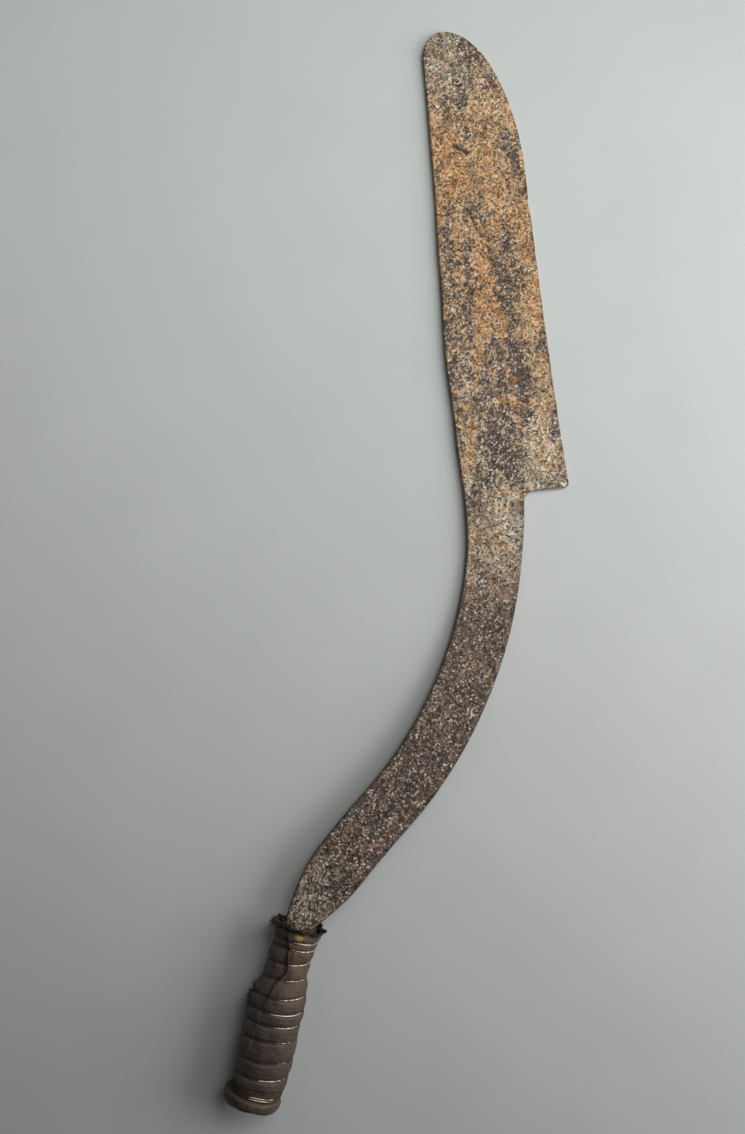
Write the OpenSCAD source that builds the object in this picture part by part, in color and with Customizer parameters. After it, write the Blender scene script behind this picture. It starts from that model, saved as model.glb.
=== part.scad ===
// Hand sickle with a long straight blade: one iron forging (blade, S-shaped flat shank and tang),
// two wooden grip scales pinned to the tang, a linen underwrap, a leather wrap and one binding wire.
// It lies as it would on a bench: +Y runs towards the tip, +X towards the side with the cutting edge, +Z up.
// The origin is under the middle of the whole tool, on the surface that it lies on.

/* [Blade] */
// Length of the blade, from the underside of the heel to the tip
blade_len = 278; // [220:1:340]
// Width of the blade at the heel
heel_w = 63; // [52:0.5:76]
// Width of the blade where the edge starts to curve in to the tip
tip_w = 55; // [46:0.5:66]
// Length of the curved part of the cutting edge, up to the tip
tip_curve_len = 94; // [70:1:115]
// Length of the small curve from the tip back to the spine
nose_len = 16; // [12:0.5:22]
// Distance of the tip's highest point from the line of the spine
nose_w = 13; // [10:0.5:17]
// How far the cutting edge is worn hollow between heel and tip curve
edge_hollow = 0.8; // [0:0.1:2]
// How far the spine bows out of its straight line
spine_bow = 3.3; // [0:0.1:6]
// Lean of the blade's spine from +Y, in degrees
blade_lean = 5.4; // [0:0.1:10]
// Thickness of the cutting edge where it is thinnest
edge_t = 0.8; // [0.5:0.1:1.2]
// How much thinner the spine is at the tip than at the neck
spine_taper = 1; // [0:0.1:1.5]
// Length over which the neck's full thickness falls to the ground face of the blade
heel_blend_len = 26; // [18:1:40]
// Rounding of the heel's outer corner
heel_round = 2.5; // [1:0.5:4]

/* [Shank] */
// Thickness of the flat bar, from the spine through to the tang
bar_t = 5; // [4:0.1:6.5]
// Width of the bar at the neck, where it meets the blade
neck_w = 35; // [34:0.5:42]
// Width of the bar along the shank
shank_w = 33; // [27:0.5:40]
// Radius of the hollow between shank and heel
heel_hollow_r = 8; // [6:0.5:10]
// Length over which the bar narrows from the neck to the shank
neck_run_len = 33; // [20:1:45]
// Length over which the bar narrows down to the collar
collar_run_len = 48; // [40:1:60]
// Heading of the shank where it leaves the neck, in degrees from -Y towards -X
neck_heading = -3; // [-8:0.5:2]
// Length of the first, gentle bend
bend_1_len = 73; // [60:1:90]
// Turn of the first bend, in degrees
bend_1_turn = 17.5; // [10:0.5:25]
// Length of the second, stronger bend
bend_2_len = 125; // [100:1:150]
// Turn of the second bend, in degrees
bend_2_turn = 28; // [18:0.5:34]
// Length of the run that starts to turn back
bend_3_len = 73; // [60:1:90]
// Turn of that run, in degrees
bend_3_turn = -8; // [-14:0.5:-2]
// Length of the short bend into the collar
collar_bend_len = 12; // [10:0.5:15]

/* [Grip] */
// Heading of the grip, in degrees from -Y towards -X
grip_tilt = 15; // [8:0.5:20]
// Length of the wooden grip, from the collar to the end of the pommel
grip_len = 106; // [88:1:128]
// Length of the bare wooden pommel below the leather
pommel_len = 8; // [7.5:0.5:12]
// Radius of the wood at the collar
collar_r = 9.4; // [9:0.1:11.3]
// Radius of the wood at its waist, behind the collar
waist_r = 8.4; // [8.2:0.1:10.1]
// Radius of the wood at its belly
belly_r = 12.3; // [10.2:0.1:12.4]
// Radius of the wood at the hem of the leather
hem_r = 11.5; // [9.6:0.1:12.3]
// Radius of the pommel, which the tool rests on
pommel_r = 16.6; // [16.5:0.1:20]
// Rounding of the pommel's end
pommel_round = 4.8; // [4:0.1:5]
// Rounding of the pommel's shoulder, under the hem of the leather
shoulder_round = 2.2; // [1.8:0.1:2.4]
// Radius of the beak at the pommel's left corner
beak_r = 6.8; // [6:0.1:8]
// How far the beak stands past the end of the pommel
beak_reach = 1.8; // [0:0.1:3]
// How far the beak stands out of the pommel's side
beak_out = 0.4; // [0.2:0.1:2]
// Width of the tang at the collar
tang_w = 14.5; // [12:0.5:15.5]
// Width of the tang at its end
tang_end_w = 9; // [7.5:0.5:11]
// How far the tang stops short of the pommel's end
tang_short = 14; // [12:0.5:18]
// Diameter of the two iron pins through scales and tang
pin_d = 4; // [3.3:0.1:4.8]
// Distance of the first pin from the collar
collar_pin_at = 22; // [18:0.5:27]
// Distance of the second pin from the hem of the leather
hem_pin_at = 13; // [10:0.5:17]
// How deep the pins' ends lie under the wood's surface
pin_sink = 0.6; // [0.4:0.1:0.9]

/* [Wrap and binding] */
// Thickness of the linen underwrap
linen_t = 0.9; // [0.6:0.1:1.1]
// How far the linen stands out of the collar
linen_lip = 1.5; // [1:0.5:2]
// Thickness of the leather
leather_t = 1.7; // [1.3:0.1:1.9]
// How far the leather stands out of the collar
leather_lip = 3; // [2.5:0.5:4]
// How far the leather's lip opens out at its mouth
lip_flare = 1; // [0.5:0.1:1.5]
// Diameter of the binding wire
wire_d = 1.1; // [0.8:0.1:1.2]
// Number of turns laid close together on the hem
hem_turns = 3.4; // [2.4:0.1:4.4]

/* [Fits] */
// Clearance between wood, tang, pins and the layers of the wrap
fit_gap = 0.1; // [0.05:0.01:0.15]
// Clearance between the wire and the leather under it, and between two close turns
wire_gap = 0.15; // [0.13:0.01:0.2]

/* [Hidden] */
$fn = 64;

curve_steps = 14;       // points along one round stretch of an outline
wire_steps = 28;        // rings in one turn of the wire
wire_sides = 6;
margin = 1;             // how far a cutting solid runs past what it cuts

// Where the open turns cross the top of the grip, as shares of the wrapped length: closer at the waist
turn_at = [0, 0.06, 0.106, 0.2, 0.3, 0.41, 0.502, 0.578, 0.676, 0.808, 0.917, 1];
// The spine's line, as [share of the blade, share of the bow]
spine_run = [[0, 0], [0.17, 0.5], [0.34, 1], [0.54, 0.6], [0.72, 0.15], [0.94, 0]];

axis_z = pommel_r;
hem_at = grip_len - pommel_len;
tang_len = grip_len - tang_short;
bends = [
    [bend_1_len, bend_1_turn], [bend_2_len, bend_2_turn], [bend_3_len, bend_3_turn],
    [collar_bend_len, grip_tilt - neck_heading - bend_1_turn - bend_2_turn - bend_3_turn]
];
shank_len = bend_1_len + bend_2_len + bend_3_len + collar_bend_len;

// Eases from 0 to 1, level at both ends
function ease(t) = let (k = min(1, max(0, t))) k * k * (3 - 2 * k);

// Value at x of a run of [place, value] stations, eased from each one to the next
function eased(run, x, i = 0) =
    i == len(run) - 2 || x <= run[i + 1][0]
        ? run[i][1] + (run[i + 1][1] - run[i][1]) * ease((x - run[i][0]) / (run[i + 1][0] - run[i][0]))
        : eased(run, x, i + 1);

// Value at x of a list, with straight steps from one entry to the next
function stepped(list, x) =
    let (i = min(len(list) - 2, floor(x))) list[i] + (list[i + 1] - list[i]) * (x - i);

function arc(centre, r, from, to) =
    [for (k = [0 : curve_steps]) let (a = from + (to - from) * k / curve_steps) centre + r * [cos(a), sin(a)]];

// The shank's middle line. A heading is an angle from -Y towards -X, and the neck is its start at [0, 0].
function along(p, h, bend, t) =
    let (r = bend[0] / (bend[1] * PI / 180), h2 = h + bend[1] * t)
    p + r * [cos(h2) - cos(h), sin(h) - sin(h2)];
bend_starts = [
    for (i = 0, p = [0, 0], h = neck_heading, l = 0; i < len(bends);
         p = along(p, h, bends[i], 1), h = h + bends[i][1], l = l + bends[i][0], i = i + 1)
        [p, h, l]
];
last_bend = len(bends) - 1;
collar = along(bend_starts[last_bend][0], bend_starts[last_bend][1], bends[last_bend], 1);
shank_line = [
    for (i = [0 : last_bend]) for (k = [0 : curve_steps - 1])
        let (s = bend_starts[i], t = k / curve_steps)
        [along(s[0], s[1], bends[i], t), s[1] + bends[i][1] * t, s[2] + bends[i][0] * t]
];
function bar_w(l) =
    shank_w + (neck_w - shank_w) * (1 - ease(l / neck_run_len))
    - (shank_w - tang_w) * (1 - sin(90 * min(1, (shank_len - l) / collar_run_len)));
function leftward(h) = [-cos(h), sin(h)];
shank_left = [for (s = shank_line) s[0] + leftward(s[1]) * bar_w(s[2]) / 2];
shank_right = [for (s = shank_line) s[0] - leftward(s[1]) * bar_w(s[2]) / 2];

// A place on the grip: s along it from the collar, u across it to the right
function on_grip(s, u) = collar + s * [-sin(grip_tilt), -cos(grip_tilt)] + u * [cos(grip_tilt), -sin(grip_tilt)];

// A place on the blade: c across it from the spine's line, b along it from the spine's end at the neck
function on_blade(c, b) =
    shank_left[0] + b * [-sin(blade_lean), cos(blade_lean)] + c * [cos(blade_lean), sin(blade_lean)];
neck_c = neck_w * cos(blade_lean + neck_heading);
heel_b = heel_hollow_r - neck_w * sin(blade_lean + neck_heading);
tip_b = heel_b + blade_len;
curve_b = tip_b - tip_curve_len;

spine_outline = [
    for (k = [0 : 2 * curve_steps])
        let (share = k / (2 * curve_steps))
        [-spine_bow * eased(spine_run, share), share * (tip_b - nose_len)]
];
nose_outline = [
    for (k = [1 : curve_steps])
        let (a = 180 - 90 * k / curve_steps)
        [nose_w * (1 + cos(a)), tip_b - nose_len * (1 - sin(a))]
];
tip_outline = [
    for (k = [1 : 2 * curve_steps])
        let (a = 90 - 90 * k / (2 * curve_steps))
        [nose_w + (tip_w - nose_w) * cos(a), curve_b + tip_curve_len * sin(a)]
];
edge_outline = [
    for (k = [1 : curve_steps - 1])
        let (t = k / curve_steps)
        [tip_w + (heel_w - tip_w) * t - edge_hollow * sin(180 * t), curve_b + (heel_b + heel_round - curve_b) * t]
];
heel_outline = concat(
    arc([heel_w - heel_round, heel_b + heel_round], heel_round, 0, -90),
    arc([neck_c + heel_hollow_r, heel_b - heel_hollow_r], heel_hollow_r, 90, 180)
);
blade_outline = concat(spine_outline, nose_outline, tip_outline, edge_outline, heel_outline);
forging_outline = concat(
    [for (p = blade_outline) on_blade(p[0], p[1])],
    [for (i = [1 : len(shank_right) - 1]) shank_right[i]],
    [on_grip(0, tang_w / 2), on_grip(tang_len, tang_end_w / 2)],
    [on_grip(tang_len, -tang_end_w / 2), on_grip(0, -tang_w / 2)],
    [for (i = [len(shank_left) - 1 : -1 : 1]) shank_left[i]]
);

// The middle of the tool's bounding box, in plan
beak_s = grip_len + beak_reach - beak_r;
beak_u = beak_r - pommel_r - beak_out;
pommel_left = on_grip(grip_len - pommel_round, pommel_round - pommel_r);
pommel_right = on_grip(grip_len - pommel_round, pommel_r - pommel_round);
beak = on_grip(beak_s, beak_u);
low_x = min(pommel_left[0] - pommel_round, beak[0] - beak_r);
low_y = min(pommel_right[1] - pommel_round, beak[1] - beak_r);
high_x = max([for (p = forging_outline) p[0]]);
high_y = max([for (p = forging_outline) p[1]]);
middle = [(low_x + high_x) / 2, (low_y + high_y) / 2, 0];

// Height of the bar's middle at y: flat under the blade, then rising to the grip's axis at the collar
rise_from = -neck_run_len;
rise_to = collar[1] + tang_w / 2;
function bar_mid(y) = bar_t / 2 + (axis_z - bar_t / 2) * ease((rise_from - y) / (rise_from - rise_to));

// Radii along the grip. The layers lie on the wood in turn.
wood_run = [[0, collar_r], [0.18, waist_r], [0.5, belly_r], [0.7, belly_r], [1, hem_r]];
function wood_r(s) = eased(wood_run, max(0, s / hem_at));
function flare(s) = s < 0 ? lip_flare * s * s / (leather_lip * leather_lip) : 0;
function linen_in(s) = wood_r(s) + fit_gap;
function linen_out(s) = linen_in(s) + linen_t;
function leather_in(s) = linen_out(s) + fit_gap + flare(s);
function leather_out(s) = leather_in(s) + leather_t;
wrap_end = hem_at - fit_gap;

// Places a solid that is drawn along +Z onto the grip's axis, with its +Y upwards
module along_grip() {
    translate([collar[0], collar[1], axis_z] - middle) rotate([90, 0, -grip_tilt]) children();
}

// The bar seen from the side, as wide as the whole tool
module side_band() {
    reach = blade_len + shank_len;
    far = on_grip(tang_len, 0)[1] - tang_w;
    near = tip_b + margin;
    ys = concat([near], [for (k = [0 : 2 * curve_steps]) rise_from + (rise_to - rise_from) * k / (2 * curve_steps)], [far]);
    profile = concat(
        [for (y = ys) [y, bar_mid(y) + bar_t / 2]],
        [for (i = [len(ys) - 1 : -1 : 0]) [ys[i], bar_mid(ys[i]) - bar_t / 2]]
    );
    translate([-reach, 0, 0]) rotate([90, 0, 90]) linear_extrude(2 * reach) polygon(profile);
}

// What is ground off the upper face: a plane that falls from the spine to the edge and a little towards the
// tip, kept back near the heel by a steeper plane that falls from the neck
module ground_face() {
    tip_share = curve_b / tip_b;
    fall = min((bar_t - edge_t) / heel_w, (bar_t - edge_t - spine_taper * tip_share) / tip_w);
    reach = 2 * blade_len;
    translate([shank_left[0][0], shank_left[0][1], bar_t]) rotate([0, 0, blade_lean]) intersection() {
        rotate([-atan(spine_taper / tip_b), atan(fall), 0]) translate([-reach, -reach, 0]) cube([2 * reach, 2 * reach, reach]);
        rotate([-atan((bar_t - edge_t) / heel_blend_len), 0, 0]) translate([-reach, 0, 0]) cube([2 * reach, reach, reach]);
    }
}

// A cylinder of radius r that crosses the grip's axis from top to bottom, at s from the collar
module across_grip(s, r, half_len) {
    translate([0, 0, s]) rotate([90, 0, 0]) cylinder(h = 2 * half_len, r = r, center = true);
}

module pin_holes() {
    for (s = [collar_pin_at, hem_at - hem_pin_at]) across_grip(s, pin_d / 2 + fit_gap, pommel_r);
}

module blade_forging() {
    color("#7a5a3c") difference() {
        translate(-middle) difference() {
            intersection() {
                linear_extrude(axis_z + bar_t) polygon(forging_outline);
                side_band();
            }
            ground_face();
        }
        along_grip() pin_holes();
    }
}

// Both scales in one, with the pommel and its beak
module grip_wood() {
    profile = concat(
        [[0, 0]],
        [for (k = [0 : 2 * curve_steps]) let (s = hem_at * k / (2 * curve_steps)) [wood_r(s), s]],
        arc([pommel_r - shoulder_round, hem_at + shoulder_round], shoulder_round, -90, 0),
        arc([pommel_r - pommel_round, grip_len - pommel_round], pommel_round, 0, 90),
        [[0, grip_len]]
    );
    rotate_extrude() polygon(profile);
    intersection() {
        translate([beak_u, 0, beak_s]) sphere(beak_r);
        translate([0, 0, hem_at + grip_len / 2]) cube(grip_len, center = true);
    }
}

// The slot that the tang fills, open at the collar
module tang_slot() {
    half = tang_w / 2 + fit_gap;
    end_half = tang_end_w / 2 + fit_gap;
    end = tang_len + fit_gap;
    widen = (half - end_half) / end * margin;
    rotate([90, 0, 0]) linear_extrude(bar_t + 2 * fit_gap, center = true)
        polygon([[-half - widen, -margin], [half + widen, -margin], [end_half, end], [-end_half, end]]);
}

// One half of the wood: side is 1 above the tang and -1 below it
module grip_scale(side) {
    size = 2 * grip_len;
    color("#4d3222") along_grip() difference() {
        intersection() {
            grip_wood();
            translate([0, side * (size + fit_gap) / 2, 0]) cube(size, center = true);
        }
        tang_slot();
        pin_holes();
    }
}

module upper_grip_scale() {
    grip_scale(1);
}

module lower_grip_scale() {
    grip_scale(-1);
}

module grip_pin(s) {
    color("#5b554d") along_grip() across_grip(s, pin_d / 2, wood_r(s) - pin_sink);
}

module collar_grip_pin() {
    grip_pin(collar_pin_at);
}

module pommel_grip_pin() {
    grip_pin(hem_at - hem_pin_at);
}

// Rings of the wrap, from the far end back to the collar
function places(from) = [for (k = [0 : 2 * curve_steps]) from + (wrap_end - from) * k / (2 * curve_steps)];

module linen_underwrap() {
    s = places(-linen_lip);
    back = [len(s) - 1 : -1 : 0];
    color("#6e5b42") along_grip() rotate_extrude()
        polygon(concat([for (x = s) [linen_out(x), x]], [for (i = back) [linen_in(s[i]), s[i]]]));
}

module leather_wrap() {
    s = concat([-leather_lip, -leather_lip / 2], places(0));
    back = [len(s) - 1 : -1 : 0];
    color("#45291b") along_grip() rotate_extrude()
        polygon(concat([for (x = s) [leather_out(x), x]], [for (i = back) [leather_in(s[i]), s[i]]]));
}

// One wire from the collar to the hem: open turns first, then close ones
module binding_wire() {
    open_turns = len(turn_at) - 1;
    turns = open_turns + hem_turns;
    close_pitch = wire_d + wire_gap;
    first = -leather_lip / 2;
    last = wrap_end - wire_d / 2 - hem_turns * close_pitch;
    run = last - first;
    count = floor(turns * wire_steps);
    rings = [
        for (k = [0 : count])
            let (
                n = k / wire_steps,
                s = n <= open_turns ? first + run * stepped(turn_at, n) : last + (n - open_turns) * close_pitch,
                r = leather_out(s) + wire_gap + wire_d / 2,
                a = 90 + 360 * n
            )
            [for (j = [0 : wire_sides - 1])
                let (b = 360 * j / wire_sides, q = r + wire_d / 2 * cos(b))
                [q * cos(a), q * sin(a), s + wire_d / 2 * sin(b)]]
    ];
    sides = [
        for (k = [0 : count - 1]) for (j = [0 : wire_sides - 1])
            let (m = (j + 1) % wire_sides, p = k * wire_sides, q = p + wire_sides)
            [p + j, p + m, q + m, q + j]
    ];
    start_cap = [for (j = [wire_sides - 1 : -1 : 0]) j];
    end_cap = [for (j = [0 : wire_sides - 1]) count * wire_sides + j];
    color("#b9a888") along_grip()
        polyhedron([for (ring = rings) for (p = ring) p], concat(sides, [start_cap, end_cap]));
}

blade_forging();
upper_grip_scale();
lower_grip_scale();
collar_grip_pin();
pommel_grip_pin();
linen_underwrap();
leather_wrap();
binding_wire();
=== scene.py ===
"""Looks of the old hand sickle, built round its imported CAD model.

One rusted iron forging, a wooden grip in two scales on its tang, a linen underwrap, a lapped leather wrap, one
binding wire, and the frayed threads that stick out of the wrap. Sizes are in millimetres until a mesh is made.
"""

import logging
import math
from dataclasses import dataclass, field
from enum import Enum
from typing import Any

import bpy
import numpy as np
from numpy.typing import NDArray
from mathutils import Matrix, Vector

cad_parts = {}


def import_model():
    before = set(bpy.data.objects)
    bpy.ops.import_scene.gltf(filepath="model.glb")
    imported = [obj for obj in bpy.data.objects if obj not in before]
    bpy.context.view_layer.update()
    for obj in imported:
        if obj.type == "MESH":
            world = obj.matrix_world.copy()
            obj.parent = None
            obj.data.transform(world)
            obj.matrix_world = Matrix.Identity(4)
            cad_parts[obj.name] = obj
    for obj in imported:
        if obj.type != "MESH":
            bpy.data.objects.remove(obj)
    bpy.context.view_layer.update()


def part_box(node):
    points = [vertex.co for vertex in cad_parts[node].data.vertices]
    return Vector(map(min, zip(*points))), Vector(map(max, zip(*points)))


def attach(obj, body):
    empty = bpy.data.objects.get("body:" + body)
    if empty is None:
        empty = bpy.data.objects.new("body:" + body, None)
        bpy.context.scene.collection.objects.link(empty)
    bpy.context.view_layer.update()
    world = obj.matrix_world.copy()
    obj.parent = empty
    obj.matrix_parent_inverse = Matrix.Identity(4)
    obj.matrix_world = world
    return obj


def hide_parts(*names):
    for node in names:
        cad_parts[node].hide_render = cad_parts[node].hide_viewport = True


LOG = logging.getLogger("hand_sickle")
MM = 0.001
Array = NDArray[np.float64]
Span = tuple[float, float]
Run = tuple[Span, ...]
Spot = tuple[float, float, float, float, float]
SOFT = {"interpolation_type": "SMOOTHSTEP"}
# Length of one wave of Blender's wave texture at scale 1
WAVE_LENGTH = 0.314


class Tint(Enum):
    """Colour families of the old iron, each laid on where the metal has weathered that way; the pale one also stands
    in for painted highlight at the neck and by the collar.
    """

    OCHRE = "ochre"
    ORANGE = "orange"
    PALE = "pale"
    GREY = "grey"
    PURPLE = "purple"
    DARK = "dark"


def linear(hex_colour: str) -> tuple[float, float, float, float]:
    """Turns an sRGB hex colour into linear RGBA.

    Args:
        hex_colour: Six hex digits after a hash sign.

    Returns:
        Linear red, green, blue and a full alpha.
    """
    parts = [int(hex_colour[i : i + 2], 16) / 255 for i in (1, 3, 5)]
    red, green, blue = (p / 12.92 if p <= 0.04045 else ((p + 0.055) / 1.055) ** 2.4 for p in parts)
    return (red, green, blue, 1.0)


def ease(t: Any) -> Any:
    """Eases from 0 to 1, level at both ends."""
    k = np.clip(t, 0.0, 1.0)
    return k * k * (3 - 2 * k)


def eased(run: Run, x: Any) -> Array:
    """Gives the value at x of a run of stations, eased from each one to the next.

    Args:
        run: Places and values, by rising place.
        x: Where the value is wanted.

    Returns:
        The value at each x.
    """
    places, values = np.array([p for p, _ in run], float), np.array([v for _, v in run], float)
    x = np.asarray(x, float)
    i = np.clip(np.searchsorted(places, x, side="right") - 1, 0, len(places) - 2)
    return values[i] + (values[i + 1] - values[i]) * ease((x - places[i]) / (places[i + 1] - places[i]))


def columns(*values: Any) -> Array:
    """Stacks values as the columns of a table with a row for each point, and repeats single numbers.

    Args:
        values: Values of each column.

    Returns:
        The table.
    """
    return np.stack([np.ravel(v) for v in np.broadcast_arrays(*values)], 1)


class Grain:
    """Seeded smooth noise that moves mesh points about."""

    def __init__(self, seed: int) -> None:
        """Draws the lattice values from the seed."""
        self.values = np.random.default_rng(seed).uniform(-1, 1, 8192)

    def at(self, place: Array, size: float) -> Array:
        """Gives noise with humps about as wide as size.

        Args:
            place: Points, one to a row, in the unit of size.
            size: Spacing of the lattice.

        Returns:
            Values from -1 to 1.
        """
        scaled = np.asarray(place, float) / size
        cell = np.floor(scaled).astype(np.int64)
        share = ease(scaled - cell)
        total = np.zeros(len(scaled))
        for corner in range(8):
            step = np.array([corner & 1, corner >> 1 & 1, corner >> 2 & 1])
            key = cell + step
            index = (key[:, 0] * 73856093 ^ key[:, 1] * 19349663 ^ key[:, 2] * 83492791) % 8192
            weight = np.prod(np.where(step == 1, share, 1 - share), axis=1)
            total += weight * self.values[index]
        return total

    def rough(self, place: Array, size: float, layers: int = 3) -> Array:
        """Gives noise with finer humps laid on coarser ones.

        Args:
            place: Points, one to a row.
            size: Spacing of the coarsest lattice.
            layers: How many times the humps are halved in size.

        Returns:
            Values of about -1 to 1.
        """
        return sum(self.at(place + 37.7 * k, size / 2**k) / 2**k for k in range(layers)) / 1.5


def make_mesh(name: str, points: Array, faces: list[Any], marks: dict[str, Array] | None = None) -> bpy.types.Object:
    """Makes a smooth-shaded mesh object from points in millimetres.

    Args:
        name: The piece's name.
        points: Points in the row frame, in millimetres.
        faces: Point numbers of each face.
        marks: Values for each point, by attribute name, with three columns for a vector.

    Returns:
        The new object, linked to the scene.
    """
    mesh = bpy.data.meshes.new(name)
    mesh.from_pydata((np.asarray(points, float) * MM).tolist(), [], [list(f) for f in faces])
    mesh.validate()
    mesh.shade_smooth()
    for mark, values in (marks or {}).items():
        vector = values.ndim == 2
        layer = mesh.attributes.new(mark, "FLOAT_VECTOR" if vector else "FLOAT", "POINT")
        layer.data.foreach_set("vector" if vector else "value", values.astype(np.float32).ravel())
    piece = bpy.data.objects.new(name, mesh)
    bpy.context.scene.collection.objects.link(piece)
    return piece


def band(rows: int, around: int) -> NDArray[np.int64]:
    """Joins rings of points, one after another, into a band.

    Args:
        rows: Number of rings.
        around: Points in each ring.

    Returns:
        Four point numbers for each quad.
    """
    i, j = np.meshgrid(np.arange(rows - 1) * around, np.arange(around), indexing="ij")
    k = (j + 1) % around
    return np.stack([i + j, i + k, i + around + k, i + around + j], -1).reshape(-1, 4)


def tube_faces(rows: int, around: int, start: int = 0) -> list[tuple[int, ...]]:
    """Joins rings of points, one after another, into a tube with both ends closed.

    Args:
        rows: Number of rings.
        around: Points in each ring.
        start: Number of the first point.

    Returns:
        The faces.
    """
    faces = [tuple(q) for q in (start + band(rows, around)).tolist()]
    faces.append(tuple(range(start + around - 1, start - 1, -1)))
    faces.append(tuple(range(start + (rows - 1) * around, start + rows * around)))
    return faces


def strand(path: Array, radius: Array, sides: int) -> Array:
    """Gives the rings of a round strand along a path.

    Args:
        path: Points of the middle line.
        radius: Radius at each point.
        sides: Points in each ring.

    Returns:
        The rings' points, ring after ring.
    """
    along = np.gradient(path, axis=0)
    along /= np.linalg.norm(along, axis=1)[:, None] + 1e-12
    helper = np.where(np.abs(along[:, 2:3]) > 0.8, [[1.0, 0, 0]], [[0, 0, 1.0]])
    side = np.cross(along, helper)
    side /= np.linalg.norm(side, axis=1)[:, None]
    up = np.cross(side, along)
    turn = 2 * np.pi * np.arange(sides) / sides
    ring = side[:, None] * np.cos(turn)[:, None] + up[:, None] * np.sin(turn)[:, None]
    return (path[:, None] + ring * radius[:, None, None]).reshape(-1, 3)


class Finish:
    """A procedural material under construction: one shader, and nodes that feed it."""

    def __init__(self, name: str) -> None:
        """Starts a material with an empty tree but for its shader and output."""
        self.material = bpy.data.materials.new(name)
        self.material.use_nodes = True
        self.tree = self.material.node_tree
        self.tree.nodes.clear()
        self.shader = self.add("ShaderNodeBsdfPrincipled")
        self.add("ShaderNodeOutputMaterial", {}, {"Surface": self.shader.outputs[0]})

    def add(self, kind: str, settings: dict[str, Any] | None = None, inputs: dict[Any, Any] | None = None) -> Any:
        """Adds a node with its settings and links.

        Args:
            kind: Blender's name for the node.
            settings: Properties of the node.
            inputs: What goes in each socket, as a value or as the socket that feeds it.

        Returns:
            The node.
        """
        node = self.tree.nodes.new(kind)
        for name, value in (settings or {}).items():
            setattr(node, name, value)
        self.feed(node, inputs or {})
        return node

    def feed(self, node: Any, inputs: dict[Any, Any]) -> None:
        """Sets or links a node's sockets.

        Args:
            node: The node to feed.
            inputs: What goes in each socket.
        """
        for key, value in inputs.items():
            if isinstance(value, bpy.types.NodeSocket):
                self.tree.links.new(value, node.inputs[key])
            else:
                node.inputs[key].default_value = value

    def mark(self, name: str, socket: str = "Fac") -> Any:
        """Gives the socket of a mesh attribute."""
        return self.add("ShaderNodeAttribute", {"attribute_name": name}).outputs[socket]

    def stretched(self, place: Any, scale: tuple[float, float, float]) -> Any:
        """Gives a place scaled along its axes, so that a pattern on it comes out drawn or pulled."""
        return self.add("ShaderNodeMapping", {}, {"Vector": place, "Scale": scale}).outputs[0]

    def noise(self, place: Any, size_mm: float, detail: float, rough: float = 0.5) -> Any:
        """Adds noise.

        Args:
            place: Where it is looked up.
            size_mm: Width of its coarsest humps.
            detail: How many times finer humps are laid on.
            rough: How strong the finer humps are.

        Returns:
            The node's outputs.
        """
        inputs = {"Vector": place, "Scale": 1 / (size_mm * MM), "Detail": detail, "Roughness": rough}
        return self.add("ShaderNodeTexNoise", {}, inputs).outputs

    def math(self, operation: str, *terms: Any) -> Any:
        """Gives the result of a sum on sockets and numbers."""
        return self.add("ShaderNodeMath", {"operation": operation}, dict(enumerate(terms))).outputs[0]

    def piled(self, base: Any, *shares: tuple[Any, float]) -> Any:
        """Adds a share of each given socket to a base.

        Args:
            base: The socket to start from.
            shares: Each socket that is added, and its share.

        Returns:
            The socket of the sum.
        """
        for source, share in shares:
            base = self.math("MULTIPLY_ADD", source, share, base)
        return base

    def ramp(self, source: Any, start: Span, end: Span = (0.0, 1.0), **settings: Any) -> Any:
        """Gives a value stretched from one span to another.

        Args:
            source: The socket with the value.
            start: The span that the value is in.
            end: The span that it is brought to.
            settings: Properties of the node, such as SOFT.

        Returns:
            The socket of the result.
        """
        inputs = {0: source, 1: start[0], 2: start[1], 3: end[0], 4: end[1]}
        return self.add("ShaderNodeMapRange", settings, inputs).outputs[0]

    def bump(self, height: Any, distance_mm: float, strength: float = 1.0) -> Any:
        """Gives the normal of a surface with the given relief."""
        inputs = {"Strength": strength, "Distance": distance_mm * MM, "Height": height}
        return self.add("ShaderNodeBump", {}, inputs).outputs[0]

    def layers(self, colour: Any, coats: list[tuple[Any, Any]]) -> Any:
        """Lays coats of colour over each other.

        Args:
            colour: The ground colour, as a hex string or a socket.
            coats: For each coat its cover, from 0 to 1, and its colour.

        Returns:
            The socket of the last coat.
        """
        for cover, coat in coats:
            sides = [linear(c) if isinstance(c, str) else c for c in (colour, coat)]
            mix = self.add("ShaderNodeMix", {"data_type": "RGBA"}, {0: cover, 6: sides[0], 7: sides[1]})
            colour = mix.outputs[2]
        return colour

    def close(self, **inputs: Any) -> None:
        """Feeds the shader, whose sockets are named with underscores for blanks."""
        self.feed(self.shader, {name.replace("_", " "): value for name, value in inputs.items()})

    def dress(self, *pieces: bpy.types.Object) -> None:
        """Gives the pieces this material, in every slot that they have."""
        for piece in pieces:
            piece.data.materials.clear()
            piece.data.materials.append(self.material)


class Look:
    """A material's recipe. Each kind has its title, its sizes and colours, and the nodes that it adds."""

    title = "plain"

    def fill(self, made: Finish) -> None:
        """Adds the material's nodes.

        Args:
            made: The material that they are added to.
        """
        raise NotImplementedError

    def build(self) -> Finish:
        """Builds the material.

        Returns:
            The material, ready to dress a piece.
        """
        made = Finish(self.title)
        self.fill(made)
        return made


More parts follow.
